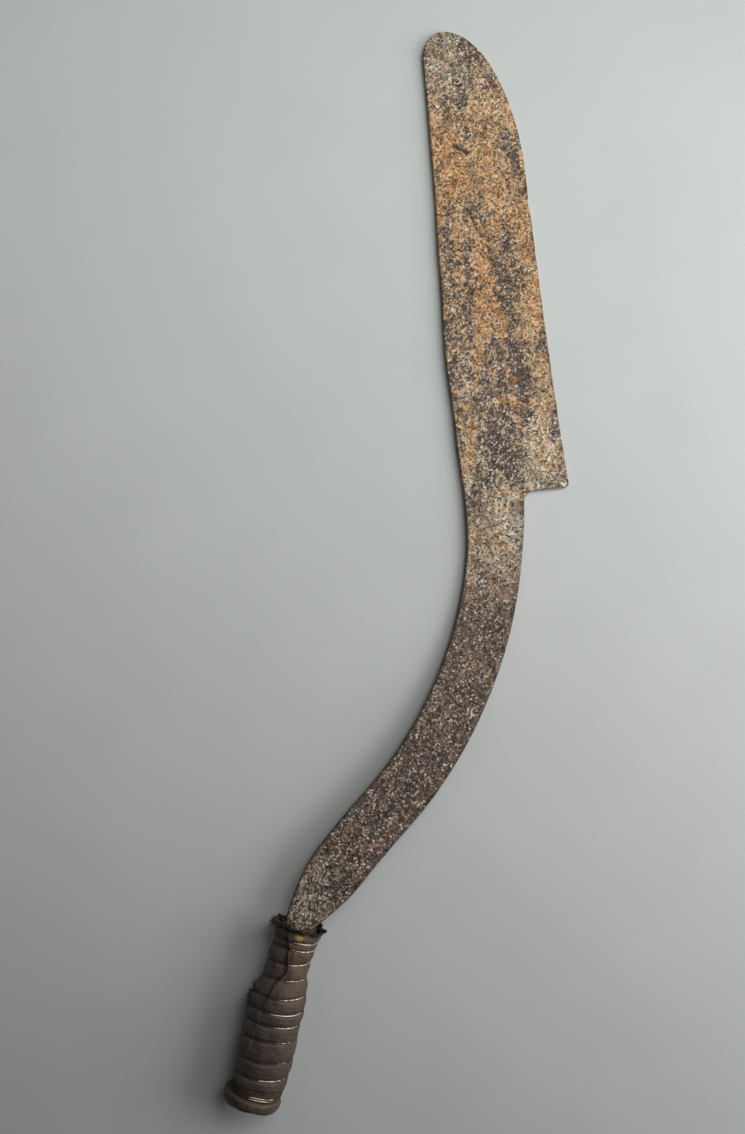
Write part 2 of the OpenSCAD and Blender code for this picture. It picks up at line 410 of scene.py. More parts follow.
@dataclass(frozen=True)
class RustedIron(Look):
    """Wrought iron, hammer forged and long rusted in the open.

    Its scale is dark and grainy, the rust on it dull ochre and orange, and high spots are rubbed pale.
    """

    title = "wrought_iron_forged_and_rusted"
    # Real grit is 0.2 to 0.5 mm. It is drawn two to three times as coarse, so that it still shows.
    grit_mm: float = 0.95
    lump_mm: float = 2.6
    crust_mm: float = 2.6
    mottle_mm: float = 6.0
    streak_mm: float = 15.0
    fray_mm: float = 1.6
    # Rust follows the hammer's drawing out, so its patches are about two and a half times as long as wide.
    drawn: tuple[float, float, float] = (1.0, 0.4, 1.0)
    scale_dark: str = "#705c50"
    scale_brown: str = "#a88e78"
    pit: str = "#2b2122"
    pale: str = "#fbf4e6"
    sand: str = "#b9a78c"
    # Darker along the outline: partly rust on the edges, partly painted shade on the rounded rims
    rim: str = "#4d413b"
    deep: str = "#1b1617"
    bump_mm: float = 0.6
    metal_share: float = 0.12
    # Where on its scale a tint is half laid on, then each tint's colour, fullest cover and width of its soft edge
    half_laid: float = 0.45
    tints: tuple[tuple[Tint, str, float, float], ...] = (
        (Tint.DARK, "#544540", 0.82, 0.7),
        (Tint.GREY, "#bda88f", 0.85, 0.6),
        (Tint.PURPLE, "#7d5b52", 0.85, 0.5),
        (Tint.OCHRE, "#cfa87c", 0.9, 0.55),
        (Tint.ORANGE, "#cf9761", 0.8, 0.45),
    )

    def grains(self, made: Finish, place: Any, size_mm: float) -> Any:
        """Gives three random values of loose grains, which differ from each grain to the next."""
        cells = made.add("ShaderNodeTexVoronoi", {}, {"Vector": place, "Scale": 1 / (size_mm * MM)})
        return made.add("ShaderNodeSeparateColor", {}, {0: cells.outputs["Color"]}).outputs

    def fill(self, made: Finish) -> None:
        """Adds the material's nodes.

        Args:
            made: The material that they are added to.
        """
        place = made.mark("lay", "Vector")
        drawn = made.stretched(place, self.drawn)
        fine = made.noise(place, self.grit_mm, 4.0, 0.75)
        grit = fine["Fac"]
        crust = made.noise(place, self.crust_mm, 4.0, 0.65)["Fac"]
        mottle = made.noise(drawn, self.mottle_mm, 4.0, 0.65)["Fac"]
        streak = made.noise(drawn, self.streak_mm, 3.0, 0.6)["Fac"]
        # The fine noise frays the edges of the grains.
        fray = {0: fine["Color"], 1: (self.fray_mm * MM,) * 3, 2: place}
        frayed = made.add("ShaderNodeVectorMath", {"operation": "MULTIPLY_ADD"}, fray).outputs[0]
        grains, lumps = (self.grains(made, frayed, size) for size in (self.grit_mm, self.lump_mm))
        broken = made.piled(mottle, (crust, 0.8), (streak, 1.3), (lumps[0], 0.22), (grains[0], 0.1))
        stir = made.ramp(broken, (1.5, 1.92), (-0.4, 0.4), clamp=False)
        coats = [(made.ramp(stir, (-0.3, 0.3), **SOFT), self.scale_brown)]
        for tint, colour, most, spread in self.tints:
            stirred = made.math("ADD", stir, made.mark(tint.value))
            edge = (self.half_laid - spread / 2, self.half_laid + spread / 2)
            coats.append((made.ramp(stirred, edge, (0.0, most), **SOFT), colour))
        tinted = made.layers(self.scale_dark, coats)
        # Each grain is lighter or darker than the next, which gives the sandy look.
        shade = made.ramp(grains[0], (0.0, 1.0), (0.3, 1.62))
        for source, span in ((lumps[1], (0.74, 1.26)), (grit, (-0.1, 2.1))):
            shade = made.math("MULTIPLY", shade, made.ramp(source, (0.0, 1.0), span))
        multiply = {"data_type": "RGBA", "blend_type": "MULTIPLY"}
        grainy = made.add("ShaderNodeMix", multiply, {0: 1.0, 6: tinted, 7: shade}).outputs[2]
        # Bright grains are dusty, high ones rubbed pale, and some have fallen out.
        dusty = made.ramp(grains[0], (0.7, 1.0), (0.0, 0.4))
        holes = made.ramp(grains[2], (0.82, 0.9), (0.0, 0.8))
        rubbed = made.piled(grains[1], (made.mark(Tint.PALE.value), 0.13), (crust, 0.3))
        flecks = made.ramp(rubbed, (1.085, 1.15), (0.0, 0.9))
        fleck = made.layers(self.sand, [(lumps[2], self.pale)])
        coats = [(dusty, self.sand), (holes, self.pit), (flecks, fleck)]
        # The rim coat is partly rust on the edges and partly painted shade on the rounded rims.
        coats += [(made.mark("rim"), self.rim), (made.mark("deep"), self.deep)]
        made.close(
            Base_Color=made.layers(grainy, coats),
            Roughness=made.ramp(crust, (0.3, 0.7), (0.55, 0.9)),
            Normal=made.bump(made.piled(grit, (crust, 1.2)), self.bump_mm),
            Metallic=self.metal_share,
        )


@dataclass(frozen=True)
class WaxedLeather(Look):
    """Vegetable-tanned cowhide, wetted, stretched on and blackened by hands and wax.

    It is painted nearly black in its creases as painted shade, and painted a lighter brown on the right and on top,
    partly as wear from hands and partly as painted light from the lamps; it is slightly glossy, with fine cross
    wrinkles.
    """

    title = "cowhide_leather_waxed_and_handled"
    dark: str = "#574c46"
    brown: str = "#4d3f38"
    tan: str = "#664e3e"
    worn: str = "#b08a4a"
    # Painted shade in the grooves beside the wire and along the flap's edge, and the dark of the collar's lip
    fold: str = "#140f0d"
    grain_mm: float = 0.9
    wrinkle_mm: float = 1.6
    stain_mm: float = 9.0
    bump_mm: float = 0.3
    # Wrinkles run round the grip, since the hide was pulled tight along it.
    pulled: tuple[float, float, float] = (0.16, 1.0, 1.0)

    def fill(self, made: Finish) -> None:
        """Adds the material's nodes.

        Args:
            made: The material that they are added to.
        """
        place = made.mark("lay", "Vector")
        wrinkle = made.noise(made.stretched(place, self.pulled), self.wrinkle_mm, 4.0)["Fac"]
        grain, stain = (made.noise(place, size, 4.0)["Fac"] for size in (self.grain_mm, self.stain_mm))
        # The mark of painted light and wear: lighter on the lit right side and top, darker on the shaded left.
        stirred = made.piled(made.mark("painted_light_and_wear"), (stain, 0.7))
        scuff = made.math("MULTIPLY", made.mark("worn"), grain)
        coats = [
            # Brown and tan are laid where that mark is high: painted light on the lit side, with some wear.
            (made.ramp(stirred, (0.3, 0.85), **SOFT), self.brown),
            (made.ramp(stirred, (0.75, 1.35), (0.0, 0.85), **SOFT), self.tan),
            (made.ramp(wrinkle, (0.5, 0.3), (0.0, 0.55), **SOFT), self.dark),
            (made.ramp(scuff, (0.25, 0.5), **SOFT), self.worn),
            # Near black where painted shade falls in the creases, and on the collar's lip
            (made.mark("crease_shade_and_dark_lip"), self.fold),
        ]
        made.close(
            Base_Color=made.layers(self.dark, coats),
            Roughness=made.ramp(grain, (0.3, 0.7), (0.5, 0.78)),
            Normal=made.bump(made.piled(grain, (wrinkle, 1.8)), self.bump_mm),
            IOR=1.48,
        )


@dataclass(frozen=True)
class DrawnWire(Look):
    """Soft brass wire, drawn and long tarnished.

    It is dull brown in the grooves, and painted a pale warm shine on the right, on top and on short stretches of
    single turns, partly as rubbed brass and partly as painted highlight where the lamps catch it.
    """

    title = "brass_wire_drawn_and_tarnished"
    # Colour of the shine, partly rubbed brass and partly painted highlight
    bright: str = "#eadfcb"
    tarnish: str = "#4a3b2f"
    spot_mm: float = 2.2

    def fill(self, made: Finish) -> None:
        """Adds the material's nodes.

        Args:
            made: The material that they are added to.
        """
        spots = made.noise(made.mark("lay", "Vector"), self.spot_mm, 3.0)["Fac"]
        # The shine is partly rubbed brass and partly painted highlight.
        shine = made.ramp(made.piled(made.mark("rubbed"), (spots, 1.1)), (0.95, 1.3), **SOFT)
        made.close(
            Base_Color=made.layers(self.tarnish, [(shine, self.bright)]),
            Roughness=made.ramp(shine, (0.0, 1.0), (0.7, 0.36)),
            Metallic=made.ramp(shine, (0.0, 1.0), (0.35, 0.75)),
        )


@dataclass(frozen=True)
class CoarseLinen(Look):
    """Flax cloth, plain woven, brown with age and wax.

    It looks dull and hairy, with a coarse crossing of threads.
    """

    title = "flax_linen_plain_woven_and_soiled"
    thread_mm: float = 0.8
    soil_mm: float = 4.0
    bump_mm: float = 0.3
    light: str = "#7b6448"
    dark: str = "#3a2c20"

    def fill(self, made: Finish) -> None:
        """Adds the material's nodes.

        Args:
            made: The material that they are added to.
        """
        place = made.mark("lay", "Vector")
        wave = {"Vector": place, "Scale": WAVE_LENGTH / (self.thread_mm * MM), "Distortion": 1.0, "Detail": 2.0}
        threads = [made.add("ShaderNodeTexWave", {"bands_direction": d}, wave).outputs["Fac"] for d in "XY"]
        weave = made.math("MULTIPLY", *threads)
        dirt = made.ramp(made.noise(place, self.soil_mm, 4.0)["Fac"], (0.35, 0.65), (0.0, 0.8))
        made.close(
            Base_Color=made.layers(self.dark, [(weave, self.light), (dirt, self.dark)]),
            Roughness=0.92,
            Normal=made.bump(weave, self.bump_mm, 0.8),
        )


@dataclass(frozen=True)
class HandledAsh(Look):
    """Ash wood, carved round, smoke-dark and polished by hands.

    It is nearly black brown, with long pores, and rubbed to orange brown on its lower rim.
    """

    title = "ash_wood_carved_and_darkened"
    dark: str = "#42372f"
    brown: str = "#5c4a3e"
    rubbed: str = "#75492e"
    gap: str = "#120d0b"
    pore_mm: float = 0.7
    stain_mm: float = 6.0
    bump_mm: float = 0.2
    # The pores are long, and run along the grip.
    fibre: tuple[float, float, float] = (1.0, 0.07, 1.0)

    def fill(self, made: Finish) -> None:
        """Adds the material's nodes.

        Args:
            made: The material that they are added to.
        """
        place = made.mark("lay", "Vector")
        pores = made.noise(made.stretched(place, self.fibre), self.pore_mm, 3.0)["Fac"]
        stain = made.noise(place, self.stain_mm, 4.0)["Fac"]
        rub = made.ramp(made.piled(made.mark("worn"), (stain, 0.9)), (0.8, 1.25), (0.0, 0.9), **SOFT)
        coats = [(made.ramp(pores, (0.35, 0.65)), self.brown), (rub, self.rubbed), (made.mark("split"), self.gap)]
        made.close(
            Base_Color=made.layers(self.dark, coats), Roughness=0.55, Normal=made.bump(pores, self.bump_mm, 0.7)
        )


@dataclass(frozen=True)
class PinIron(Look):
    """Iron rod, cut off and filed flush, dark with spots of rust."""

    title = "iron_rod_filed_and_rusted"
    dark: str = "#3b332e"
    rust: str = "#7a5236"
    spot_mm: float = 1.5
    bump_mm: float = 0.15

    def fill(self, made: Finish) -> None:
        """Adds the material's nodes.

        Args:
            made: The material that they are added to.
        """
        spots = made.noise(made.add("ShaderNodeTexCoord").outputs["Object"], self.spot_mm, 4.0)["Fac"]
        made.close(
            Base_Color=made.layers(self.dark, [(made.ramp(spots, (0.45, 0.6)), self.rust)]),
            Roughness=0.7,
            Metallic=0.4,
            Normal=made.bump(spots, self.bump_mm, 0.6),
        )


@dataclass(frozen=True)
class MattPaper(Look):
    """Studio paper, uncoated and pale grey, with a faint cloudiness."""

    title = "background_paper_uncoated"
    light: str = "#d6d8d6"
    dark: str = "#cdcfcd"
    cloud_mm: float = 60.0

    def fill(self, made: Finish) -> None:
        """Adds the material's nodes.

        Args:
            made: The material that they are added to.
        """
        cloud = made.noise(made.add("ShaderNodeTexCoord").outputs["Object"], self.cloud_mm, 5.0)["Fac"]
        made.close(Base_Color=made.layers(self.dark, [(cloud, self.light)]), Roughness=0.85)


def arc(x: float, y: float, radius: float, angles: Any) -> list[tuple[float, float]]:
    """Gives points on a circle round x, y at some angles in radians."""
    return [(x + radius * math.cos(a), y + radius * math.sin(a)) for a in angles]


@dataclass(frozen=True)
class Gouge:
    """A dent cut into the upper face, from one place to another, each across from the left edge and along."""

    start: tuple[float, float]
    end: tuple[float, float]
    half_width: float
    depth: float


@dataclass
class Forging:
    """The blade, neck, S-shaped shank and tang, in one iron forging."""

    blade_len: float = 278.0
    heel_w: float = 63.0
    tip_w: float = 55.0
    tip_curve_len: float = 94.0
    nose_len: float = 16.0
    nose_w: float = 13.0
    edge_hollow: float = 0.8
    spine_bow: float = 3.3
    blade_lean: float = 5.4
    edge_t: float = 0.8
    spine_taper: float = 1.0
    heel_blend_len: float = 26.0
    heel_round: float = 2.5
    heel_hollow_r: float = 8.0
    bar_t: float = 5.0
    neck_w: float = 35.0
    shank_w: float = 33.0
    neck_run_len: float = 33.0
    collar_run_len: float = 48.0
    neck_heading: float = -3.0
    grip_tilt: float = 15.0
    tang_w: float = 14.5
    tang_end_w: float = 9.0
    tang_len: float = 92.0
    axis_z: float = 16.6
    # The rows turn from across the blade to across the neck in a fan above the heel
    fan_len: float = 24.0
    heel_rows: int = 61
    row_step: float = 0.95
    columns: int = 60
    # Places of the points next to each end of a row that is at least full_steps_w wide
    edge_steps: tuple[float, ...] = (0, 0.12, 0.3, 0.55, 0.9, 1.35, 1.9, 2.6)
    full_steps_w: float = 14.0
    nicks: int = 9
    dent_at: float = 178.0
    dent_depth: float = 0.7
    wall_bulge: float = 0.12
    thinnest: float = 0.35
    bends: tuple[tuple[float, float], ...] = ((73, 17.5), (125, 28), (73, -8), (12, -19.5))
    spine_run: Run = ((0, 0), (0.17, 0.5), (0.34, 1), (0.54, 0.6), (0.72, 0.15), (0.94, 0), (1, 0))
    # How much of each tint the iron has along its length, from the collar (-283) over the neck (0) to the tip
    tint_runs: dict[Tint, Run] = field(
        default_factory=lambda: {
            Tint.OCHRE: (
                *((-300, -0.35), (-80, -0.3), (-40, -0.1), (20, 0.1), (60, 0.2)),
                *((120, 0.45), (235, 0.55), (262, 0.2), (290, 0)),
            ),
            Tint.ORANGE: ((-300, -0.6), (-30, -0.5), (40, -0.1), (110, 0.15), (215, 0.2), (250, -0.1), (290, -0.3)),
            # Pale rises at the neck and towards the collar, partly as dust and partly as painted highlight where the
            # bent iron catches the light.
            Tint.PALE: (
                *((-300, 0.8), (-240, 0.75), (-120, 0.5), (-60, 0.45), (-35, 1.1), (0, 1.5)),
                *((40, 0.6), (120, 0.25), (230, 0.35), (262, 0.8), (290, 0.7)),
            ),
            Tint.GREY: (
                *((-300, 0.35), (-245, 0.12), (-215, -0.05), (-160, -0.05), (-120, 0.08), (-60, 0.0), (-30, 0.3)),
                *((30, 0.3), (110, 0.2), (140, 0.0), (235, 0.1), (262, 0.7), (290, 0.7)),
            ),
            Tint.PURPLE: ((-300, 0.2), (-60, 0.1), (60, 0.1), (200, 0.15), (290, 0.2)),
            Tint.DARK: (
                *((-300, 0.8), (-160, 0.7), (-100, 0.55), (-70, 0.4)),
                *((-30, 0.1), (60, 0.15), (150, -0.1), (290, 0.0)),
            ),
        }
    )
    # Weathered spots of each tint: place across from the left edge and along from the neck, half the width and
    # half the length, and strength
    patches: dict[Tint, tuple[Spot, ...]] = field(
        default_factory=lambda: {
            Tint.OCHRE: (
                (30, 230, 14, 15, 0.35), (14, 208, 12, 22, 0.4), (16, 168, 8, 12, 0.4), (33, 196, 12, 20, 0.25),
                (54, 92, 7, 50, 0.5), (5, 45, 6, 30, 0.3), (47, 26, 10, 16, 0.45), (33, 4, 8, 8, 0.4),
                (48, 108, 6, 12, 0.4), (47, 73, 6, 10, 0.35), (10, -14, 10, 14, 0.3),
            ),
            Tint.ORANGE: (
                (30, 224, 7, 10, 0.3), (10.5, 206, 7, 20, 0.8), (38, 172, 4, 4, 0.5), (27, 136, 8, 17, 0.65),
                (54, 130, 7, 55, 0.25), (33, 112, 3, 6, 0.5), (37, 74, 6, 4, 0.8), (28, 62, 5, 5, 0.8),
                (40, 57, 5, 6, 0.8), (19, 191, 6, 7, 0.6),
            ),
            # The pale spots at the neck and by the collar are partly pale dust and partly painted highlight, where
            # the bent iron catches the light.
            Tint.PALE: (
                (17, 259, 6, 14, 1.0), (50, 30, 9, 14, 0.8), (31, -19, 8, 10, 1.1), (27, -4, 9, 9, 1.0),
                (49, 42, 8, 10, 0.9), (20, -6, 12, 10, 0.6), (12, -262, 12, 18, 0.7),
            ),
            Tint.GREY: (
                (9, 85, 8, 26, 0.35), (46, 18, 9, 14, 0.5), (50, 26, 10, 20, 0.6), (22, -8, 16, 14, 0.8),
                (31, -19, 8, 10, 0.4), (18, -21, 8, 9, 0.6), (27, -4, 9, 9, 0.4), (7, 62, 6, 26, 0.3),
                (12, -262, 12, 18, 0.45),
            ),
            Tint.PURPLE: (
                (29, 270, 7, 9, 0.75), (4, 245, 4, 8, 0.7), (41, 252, 5, 8, 0.6), (6, 222, 5, 5, 0.6),
            ),
            Tint.DARK: (
                (19, 212, 7, 3, 0.7), (21, 173, 4.5, 16, 0.95), (37, 158, 8, 12, 0.75), (44, 198, 6, 10, 0.35),
                (15, 133, 4, 22, 0.8), (41, 122, 5, 30, 0.9), (30, 80, 15, 26, 0.35), (21, 30, 9, 22, 0.95),
                (58, 14, 5, 6, 0.6), (14, 12, 9, 9, 0.4), (19, 9, 7, 9, 0.6), (9, 28, 6, 12, 0.4),
            ),
        }
    )
    gouges: tuple[Gouge, ...] = (
        Gouge((13.6, 215.8), (20.6, 211.2), 1.2, 1.2),
        Gouge((18.0, 178.0), (22.5, 165.0), 1.1, 0.55),
        Gouge((29.0, 147.0), (30.0, 141.0), 1.0, 0.4),
        Gouge((40.0, 250.0), (43.0, 245.0), 1.2, 0.4),
    )

    def __post_init__(self) -> None:
        """Works out the derived sizes and where the forging stands in the row frame."""
        self.shank_len = sum(length for length, _ in self.bends)
        self.collar, _ = self.centre(self.shank_len)
        self.neck_left = self.shank_row(0.0)[0]
        lean = math.radians(self.blade_lean)
        self.up_blade = np.array([-math.sin(lean), math.cos(lean)])
        self.over_blade = np.array([math.cos(lean), math.sin(lean)])
        turn = math.radians(self.blade_lean + self.neck_heading)
        self.neck_c = self.neck_w * math.cos(turn)
        self.heel_b = self.heel_hollow_r - self.neck_w * math.sin(turn)
        self.tip_b = self.heel_b + self.blade_len
        self.curve_b = self.tip_b - self.tip_curve_len
        corner = self.on_blade(self.heel_w - self.heel_round, self.heel_b + self.heel_round)
        highest = max(self.on_blade(c, b)[1] for c, b in self.tip_arc())
        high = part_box("blade_forging")[1]
        self.shift = np.array([high.x / MM - corner[0] - self.heel_round, high.y / MM - highest])

    def centre(self, length: float) -> tuple[Array, float]:
        """Gives the shank's middle line.

        Args:
            length: Distance from the neck.

        Returns:
            The point, and the heading there in radians from -Y towards -X.
        """
        point, heading = np.zeros(2), math.radians(self.neck_heading)
        for run, turn in self.bends:
            share = min(1.0, max(0.0, length / run))
            angle = math.radians(turn)
            radius, after = run / angle, heading + angle * share
            turned = (math.cos(after) - math.cos(heading), math.sin(heading) - math.sin(after))
            point = point + radius * np.array(turned)
            heading = after
            length -= run
            if length <= 0:
                break
        return point, heading

    def shank_row(self, length: float) -> tuple[Array, Array]:
        """Gives the left and right edge of the shank.

        Args:
            length: Distance from the neck.

        Returns:
            The two points.
        """
        point, heading = self.centre(length)
        end_run = min(1.0, (self.shank_len - length) / self.collar_run_len)
        width = (
            self.shank_w
            + (self.neck_w - self.shank_w) * (1 - float(ease(length / self.neck_run_len)))
            - (self.shank_w - self.tang_w) * (1 - math.sin(math.pi / 2 * end_run))
        )
        left = np.array([-math.cos(heading), math.sin(heading)])
        return point + left * width / 2, point - left * width / 2

    def on_blade(self, c: Any, b: Any) -> Array:
        """Gives a place on the blade: c across it from the spine's line, b along it."""
        return self.neck_left + np.multiply.outer(b, self.up_blade) + np.multiply.outer(c, self.over_blade)

    def tip_arc(self) -> list[tuple[float, float]]:
        """Samples the curved top of the cutting edge.

        Returns:
            Places across and along the blade.
        """
        angles = np.radians(np.linspace(60, 90, 61))
        wide = self.tip_w - self.nose_w
        return [
            (self.nose_w + wide * math.cos(a), self.curve_b + self.tip_curve_len * math.sin(a)) for a in angles
        ]

    def spine_c(self, b: float) -> float:
        """Gives the left edge of the blade.

        Args:
            b: Place along the blade.

        Returns:
            The place across it.
        """
        straight = self.tip_b - self.nose_len
        if b <= straight:
            return -self.spine_bow * float(eased(self.spine_run, max(0.0, b) / straight))
        rise = min(1.0, (b - straight) / self.nose_len)
        return self.nose_w * (1 - math.sqrt(max(0.0, 1 - rise * rise)))

    def edge_c(self, b: float) -> float:
        """Gives the right edge of the blade above the heel's rounding.

        Args:
            b: Place along the blade.

        Returns:
            The place across it.
        """
        if b >= self.curve_b:
            rise = min(1.0, (b - self.curve_b) / self.tip_curve_len)
            return self.nose_w + (self.tip_w - self.nose_w) * math.sqrt(max(0.0, 1 - rise * rise))
        t = (self.curve_b - b) / (self.curve_b - self.heel_b - self.heel_round)
        return self.tip_w + (self.heel_w - self.tip_w) * t - self.edge_hollow * math.sin(math.pi * t)

    def heel_path(self, top: float) -> Array:
        """Gives the right edge down round the heel to the neck.

        Args:
            top: Where on the blade it starts.

        Returns:
            Places on the blade, evenly spaced.
        """
        down = [(self.edge_c(b), b) for b in np.linspace(top, self.heel_b + self.heel_round, 24)]
        cx, cy = self.heel_w - self.heel_round, self.heel_b + self.heel_round
        corner = arc(cx, cy, self.heel_round, np.linspace(0, -math.pi / 2, 10))
        hx, hy = self.neck_c + self.heel_hollow_r, self.heel_b - self.heel_hollow_r
        hollow = arc(hx, hy, self.heel_hollow_r, np.linspace(math.pi / 2, math.pi, 24))
        path = np.array(down + corner[1:] + hollow)
        far = np.concatenate([[0], np.cumsum(np.linalg.norm(np.diff(path, axis=0), axis=1))])
        at = np.linspace(0, far[-1], self.heel_rows + 1)
        return columns(*(np.interp(at, far, path[:, axis]) for axis in (0, 1)))

    def rows(self) -> tuple[Array, Array, Array]:
        """Lays rows across the forging from tip to tang.

        Returns:
            Left ends, right ends, and the distance along of both ends of each row.
        """
        left, right, along = [], [], []
        fan_top = self.heel_b + self.fan_len
        first_step = 0.05
        depth, k = first_step, 1
        while self.tip_b - depth > fan_top:
            b = self.tip_b - depth
            left.append(self.on_blade(self.spine_c(b), b))
            right.append(self.on_blade(self.edge_c(b), b))
            along.append((b, b))
            k += 1
            depth += min(self.row_step, first_step * (2 * k + 1))
        path = self.heel_path(fan_top)
        for i, (c, b) in enumerate(path[:-1]):
            b_left = fan_top * (1 - i / (len(path) - 1))
            left.append(self.on_blade(self.spine_c(b_left), b_left))
            right.append(self.on_blade(c, b))
            along.append((b_left, b))
        for length in np.linspace(0, self.shank_len, int(self.shank_len / self.row_step)):
            pair = self.shank_row(float(length))
            left.append(pair[0])
            right.append(pair[1])
            along.append((-length, -length))
        tilt = math.radians(self.grip_tilt)
        down, over = np.array([-math.sin(tilt), -math.cos(tilt)]), np.array([math.cos(tilt), -math.sin(tilt)])
        for s in np.linspace(3, self.tang_len, 30):
            half = (self.tang_w + (self.tang_end_w - self.tang_w) * s / self.tang_len) / 2
            left.append(self.collar + s * down - half * over)
            right.append(self.collar + s * down + half * over)
            along.append((-self.shank_len - s,) * 2)
        return np.array(left), np.array(right), np.array(along)

    def wear_outline(self, left: Array, right: Array, along: Array) -> None:
        """Moves the ends of the rows in and out, as on an edge that was hammered, nicked and sharpened.

        Args:
            left: Left ends of the rows, which are moved in place.
            right: Right ends, which are moved in place.
            along: Distance along of both ends.
        """
        rng = np.random.default_rng(11)
        grain = Grain(5)
        outward = right - left
        outward /= np.linalg.norm(outward, axis=1)[:, None]
        free = ease((self.shank_len - 2 + along[:, 0]) / 12) * ease((self.tip_b - along[:, 0]) / 9 + 0.1)
        for ends, sign, seed in ((left, -1.0, 3.0), (right, 1.0, 40.0)):
            place = columns(along[:, 0], seed, 0.0)
            push = 0.12 * grain.at(place, 16) + 0.1 * grain.at(place, 6) + 0.06 * grain.at(place, 2.3)
            if sign > 0:
                for at in rng.uniform(30, self.tip_b - 20, self.nicks):
                    push -= rng.uniform(0.05, 0.3) * np.exp(-(((along[:, 1] - at) / rng.uniform(1, 2.4)) ** 2))
                push -= self.dent_depth * np.exp(-(((along[:, 1] - self.dent_at) / 3.0) ** 2))
            ends += outward * (sign * push * free * (1.0 if sign > 0 else 0.5))[:, None]

    def rim_distance(self, points: Array, left: Array, right: Array) -> Array:
        """Measures how far points lie inside the outline in plan.

        Args:
            points: The points.
            left: Left ends of the rows.
            right: Right ends of the rows.

        Returns:
            Each point's distance from the outline.
        """
        loop = np.concatenate([left, right[::-1], left[:1]])
        start, step = loop[:-1], np.diff(loop, axis=0)
        length = np.maximum((step**2).sum(1), 1e-12)
        far = np.empty(len(points))
        batch = 2048
        for i in range(0, len(points), batch):
            gap = points[i : i + batch, None] - start[None]
            share = np.clip((gap * step[None]).sum(2) / length[None], 0, 1)
            gap -= share[..., None] * step[None]
            far[i : i + batch] = np.sqrt((gap**2).sum(2).min(1))
        return far

    def heights(self, flat: Array) -> tuple[Array, Array]:
        """Gives the smooth height of the upper and lower face in plan.

        Args:
            flat: Points before the shift to the row frame.

        Returns:
            Upper and lower heights.
        """
        from_neck = flat - self.neck_left
        b, c = from_neck @ self.up_blade, from_neck @ self.over_blade
        share = self.curve_b / self.tip_b
        fall = min(
            (self.bar_t - self.edge_t) / self.heel_w,
            (self.bar_t - self.edge_t - self.spine_taper * share) / self.tip_w,
        )
        face = self.bar_t - fall * np.maximum(c, 0) - self.spine_taper / self.tip_b * b
        blend = self.bar_t - (self.bar_t - self.edge_t) / self.heel_blend_len * b
        soft = 0.5
        ground = np.maximum(face, blend) + soft * np.exp(-np.abs(face - blend) / soft) / 2
        thick = np.where(b > 0, np.minimum(self.bar_t, ground), self.bar_t)
        start, end = -self.neck_run_len, self.collar[1] + self.tang_w / 2
        rise = (self.axis_z - self.bar_t / 2) * ease((start - flat[:, 1]) / (start - end))
        return rise + thick, rise

    def tints(self, across: Array, along: Array) -> dict[str, Array]:
        """Gives how strongly each tint shows at each point.

        Args:
            across: Distance from the left edge.
            along: Distance along from the neck.

        Returns:
            The strength at each point, by the tint's name.
        """
        marks = {}
        for tint, run in self.tint_runs.items():
            value = eased(run, along)
            for p in self.patches.get(tint, ()):
                reach = ((across - p[0]) / p[2]) ** 2 + ((along - p[1]) / p[3]) ** 2
                value = value + p[4] * np.exp(-reach)
            marks[tint.value] = value
        return marks

    def grid(self, left: Array, right: Array, width: Array) -> tuple[Array, Array]:
        """Lays points across every row, close together near its ends.

        Args:
            left: Left ends of the rows.
            right: Right ends of the rows.
            width: Widths of the rows.

        Returns:
            Each point's share of the way across, and its place in plan.
        """
        steps = np.array(self.edge_steps)
        inner = np.linspace(0, 1, self.columns - 2 * (len(steps) - 1))
        shares = np.empty((len(left), self.columns))
        for i, w in enumerate(width):
            near = steps * min(1.0, w / self.full_steps_w) / w
            shares[i] = np.concatenate([near[:-1], near[-1] + inner * (1 - 2 * near[-1]), 1 - near[-2::-1]])
        return shares, left[:, None] + (right - left)[:, None] * shares[..., None]

    def hammering(self, spot: Array) -> tuple[Array, Array, Array]:
        """Gives the beaten and rusted relief of both faces.

        Args:
            spot: Place of each point, across and along.

        Returns:
            The relief and the pits' depths, with a row for each face, and how deep the gouges make the upper one.
        """
        relief, pits = np.zeros((2, len(spot))), np.zeros((2, len(spot)))
        for side, seed in ((0, 21), (1, 22)):
            grain = Grain(seed)
            pits[side] = ease((grain.rough(spot, 5.5) - 0.12) / 0.45) * 0.42
            waves = 0.26 * grain.at(spot + 90, 24) + 0.16 * grain.at(spot + 50, 8)
            relief[side] = waves + 0.13 * grain.rough(spot + 70, 2.6, 2) - pits[side]
        deep = np.zeros(len(spot))
        ragged = 1 + 0.5 * Grain(9).at(spot, 1.6)
        for g in self.gouges:
            a, z = np.array(g.start), np.array(g.end)
            gap = spot[:, :2] - a
            share = np.clip(gap @ (z - a) / ((z - a) @ (z - a)), 0, 1)
            off = np.linalg.norm(gap - share[:, None] * (z - a), axis=1)
            cut = np.exp(-((off / (g.half_width * ragged)) ** 2))
            relief[0] -= g.depth * cut
            deep = np.maximum(deep, np.minimum(1.4 * g.depth * cut, 0.9))
        return relief, pits, deep

    def rings(self, faces: list[Array], outward: Array) -> Array:
        """Closes the upper and lower face into rings, with slightly bulging walls between them.

        Args:
            faces: Upper and lower face, row by row.
            outward: Direction of each row from left to right.

        Returns:
            The rings' points, row by row.
        """
        upper, lower = faces
        walls = []
        for column, sign in ((-1, 1.0), (0, -1.0)):
            high, low = upper[:, column], lower[:, column]
            for share in (0.33, 0.67):
                point = high + (low - high) * share
                point[:, :2] += outward * (sign * self.wall_bulge * np.minimum(1, (high - low)[:, 2:3]))
                walls.append(point[:, None])
        return np.concatenate([upper, walls[0], walls[1], lower[:, ::-1], walls[3], walls[2]], 1)

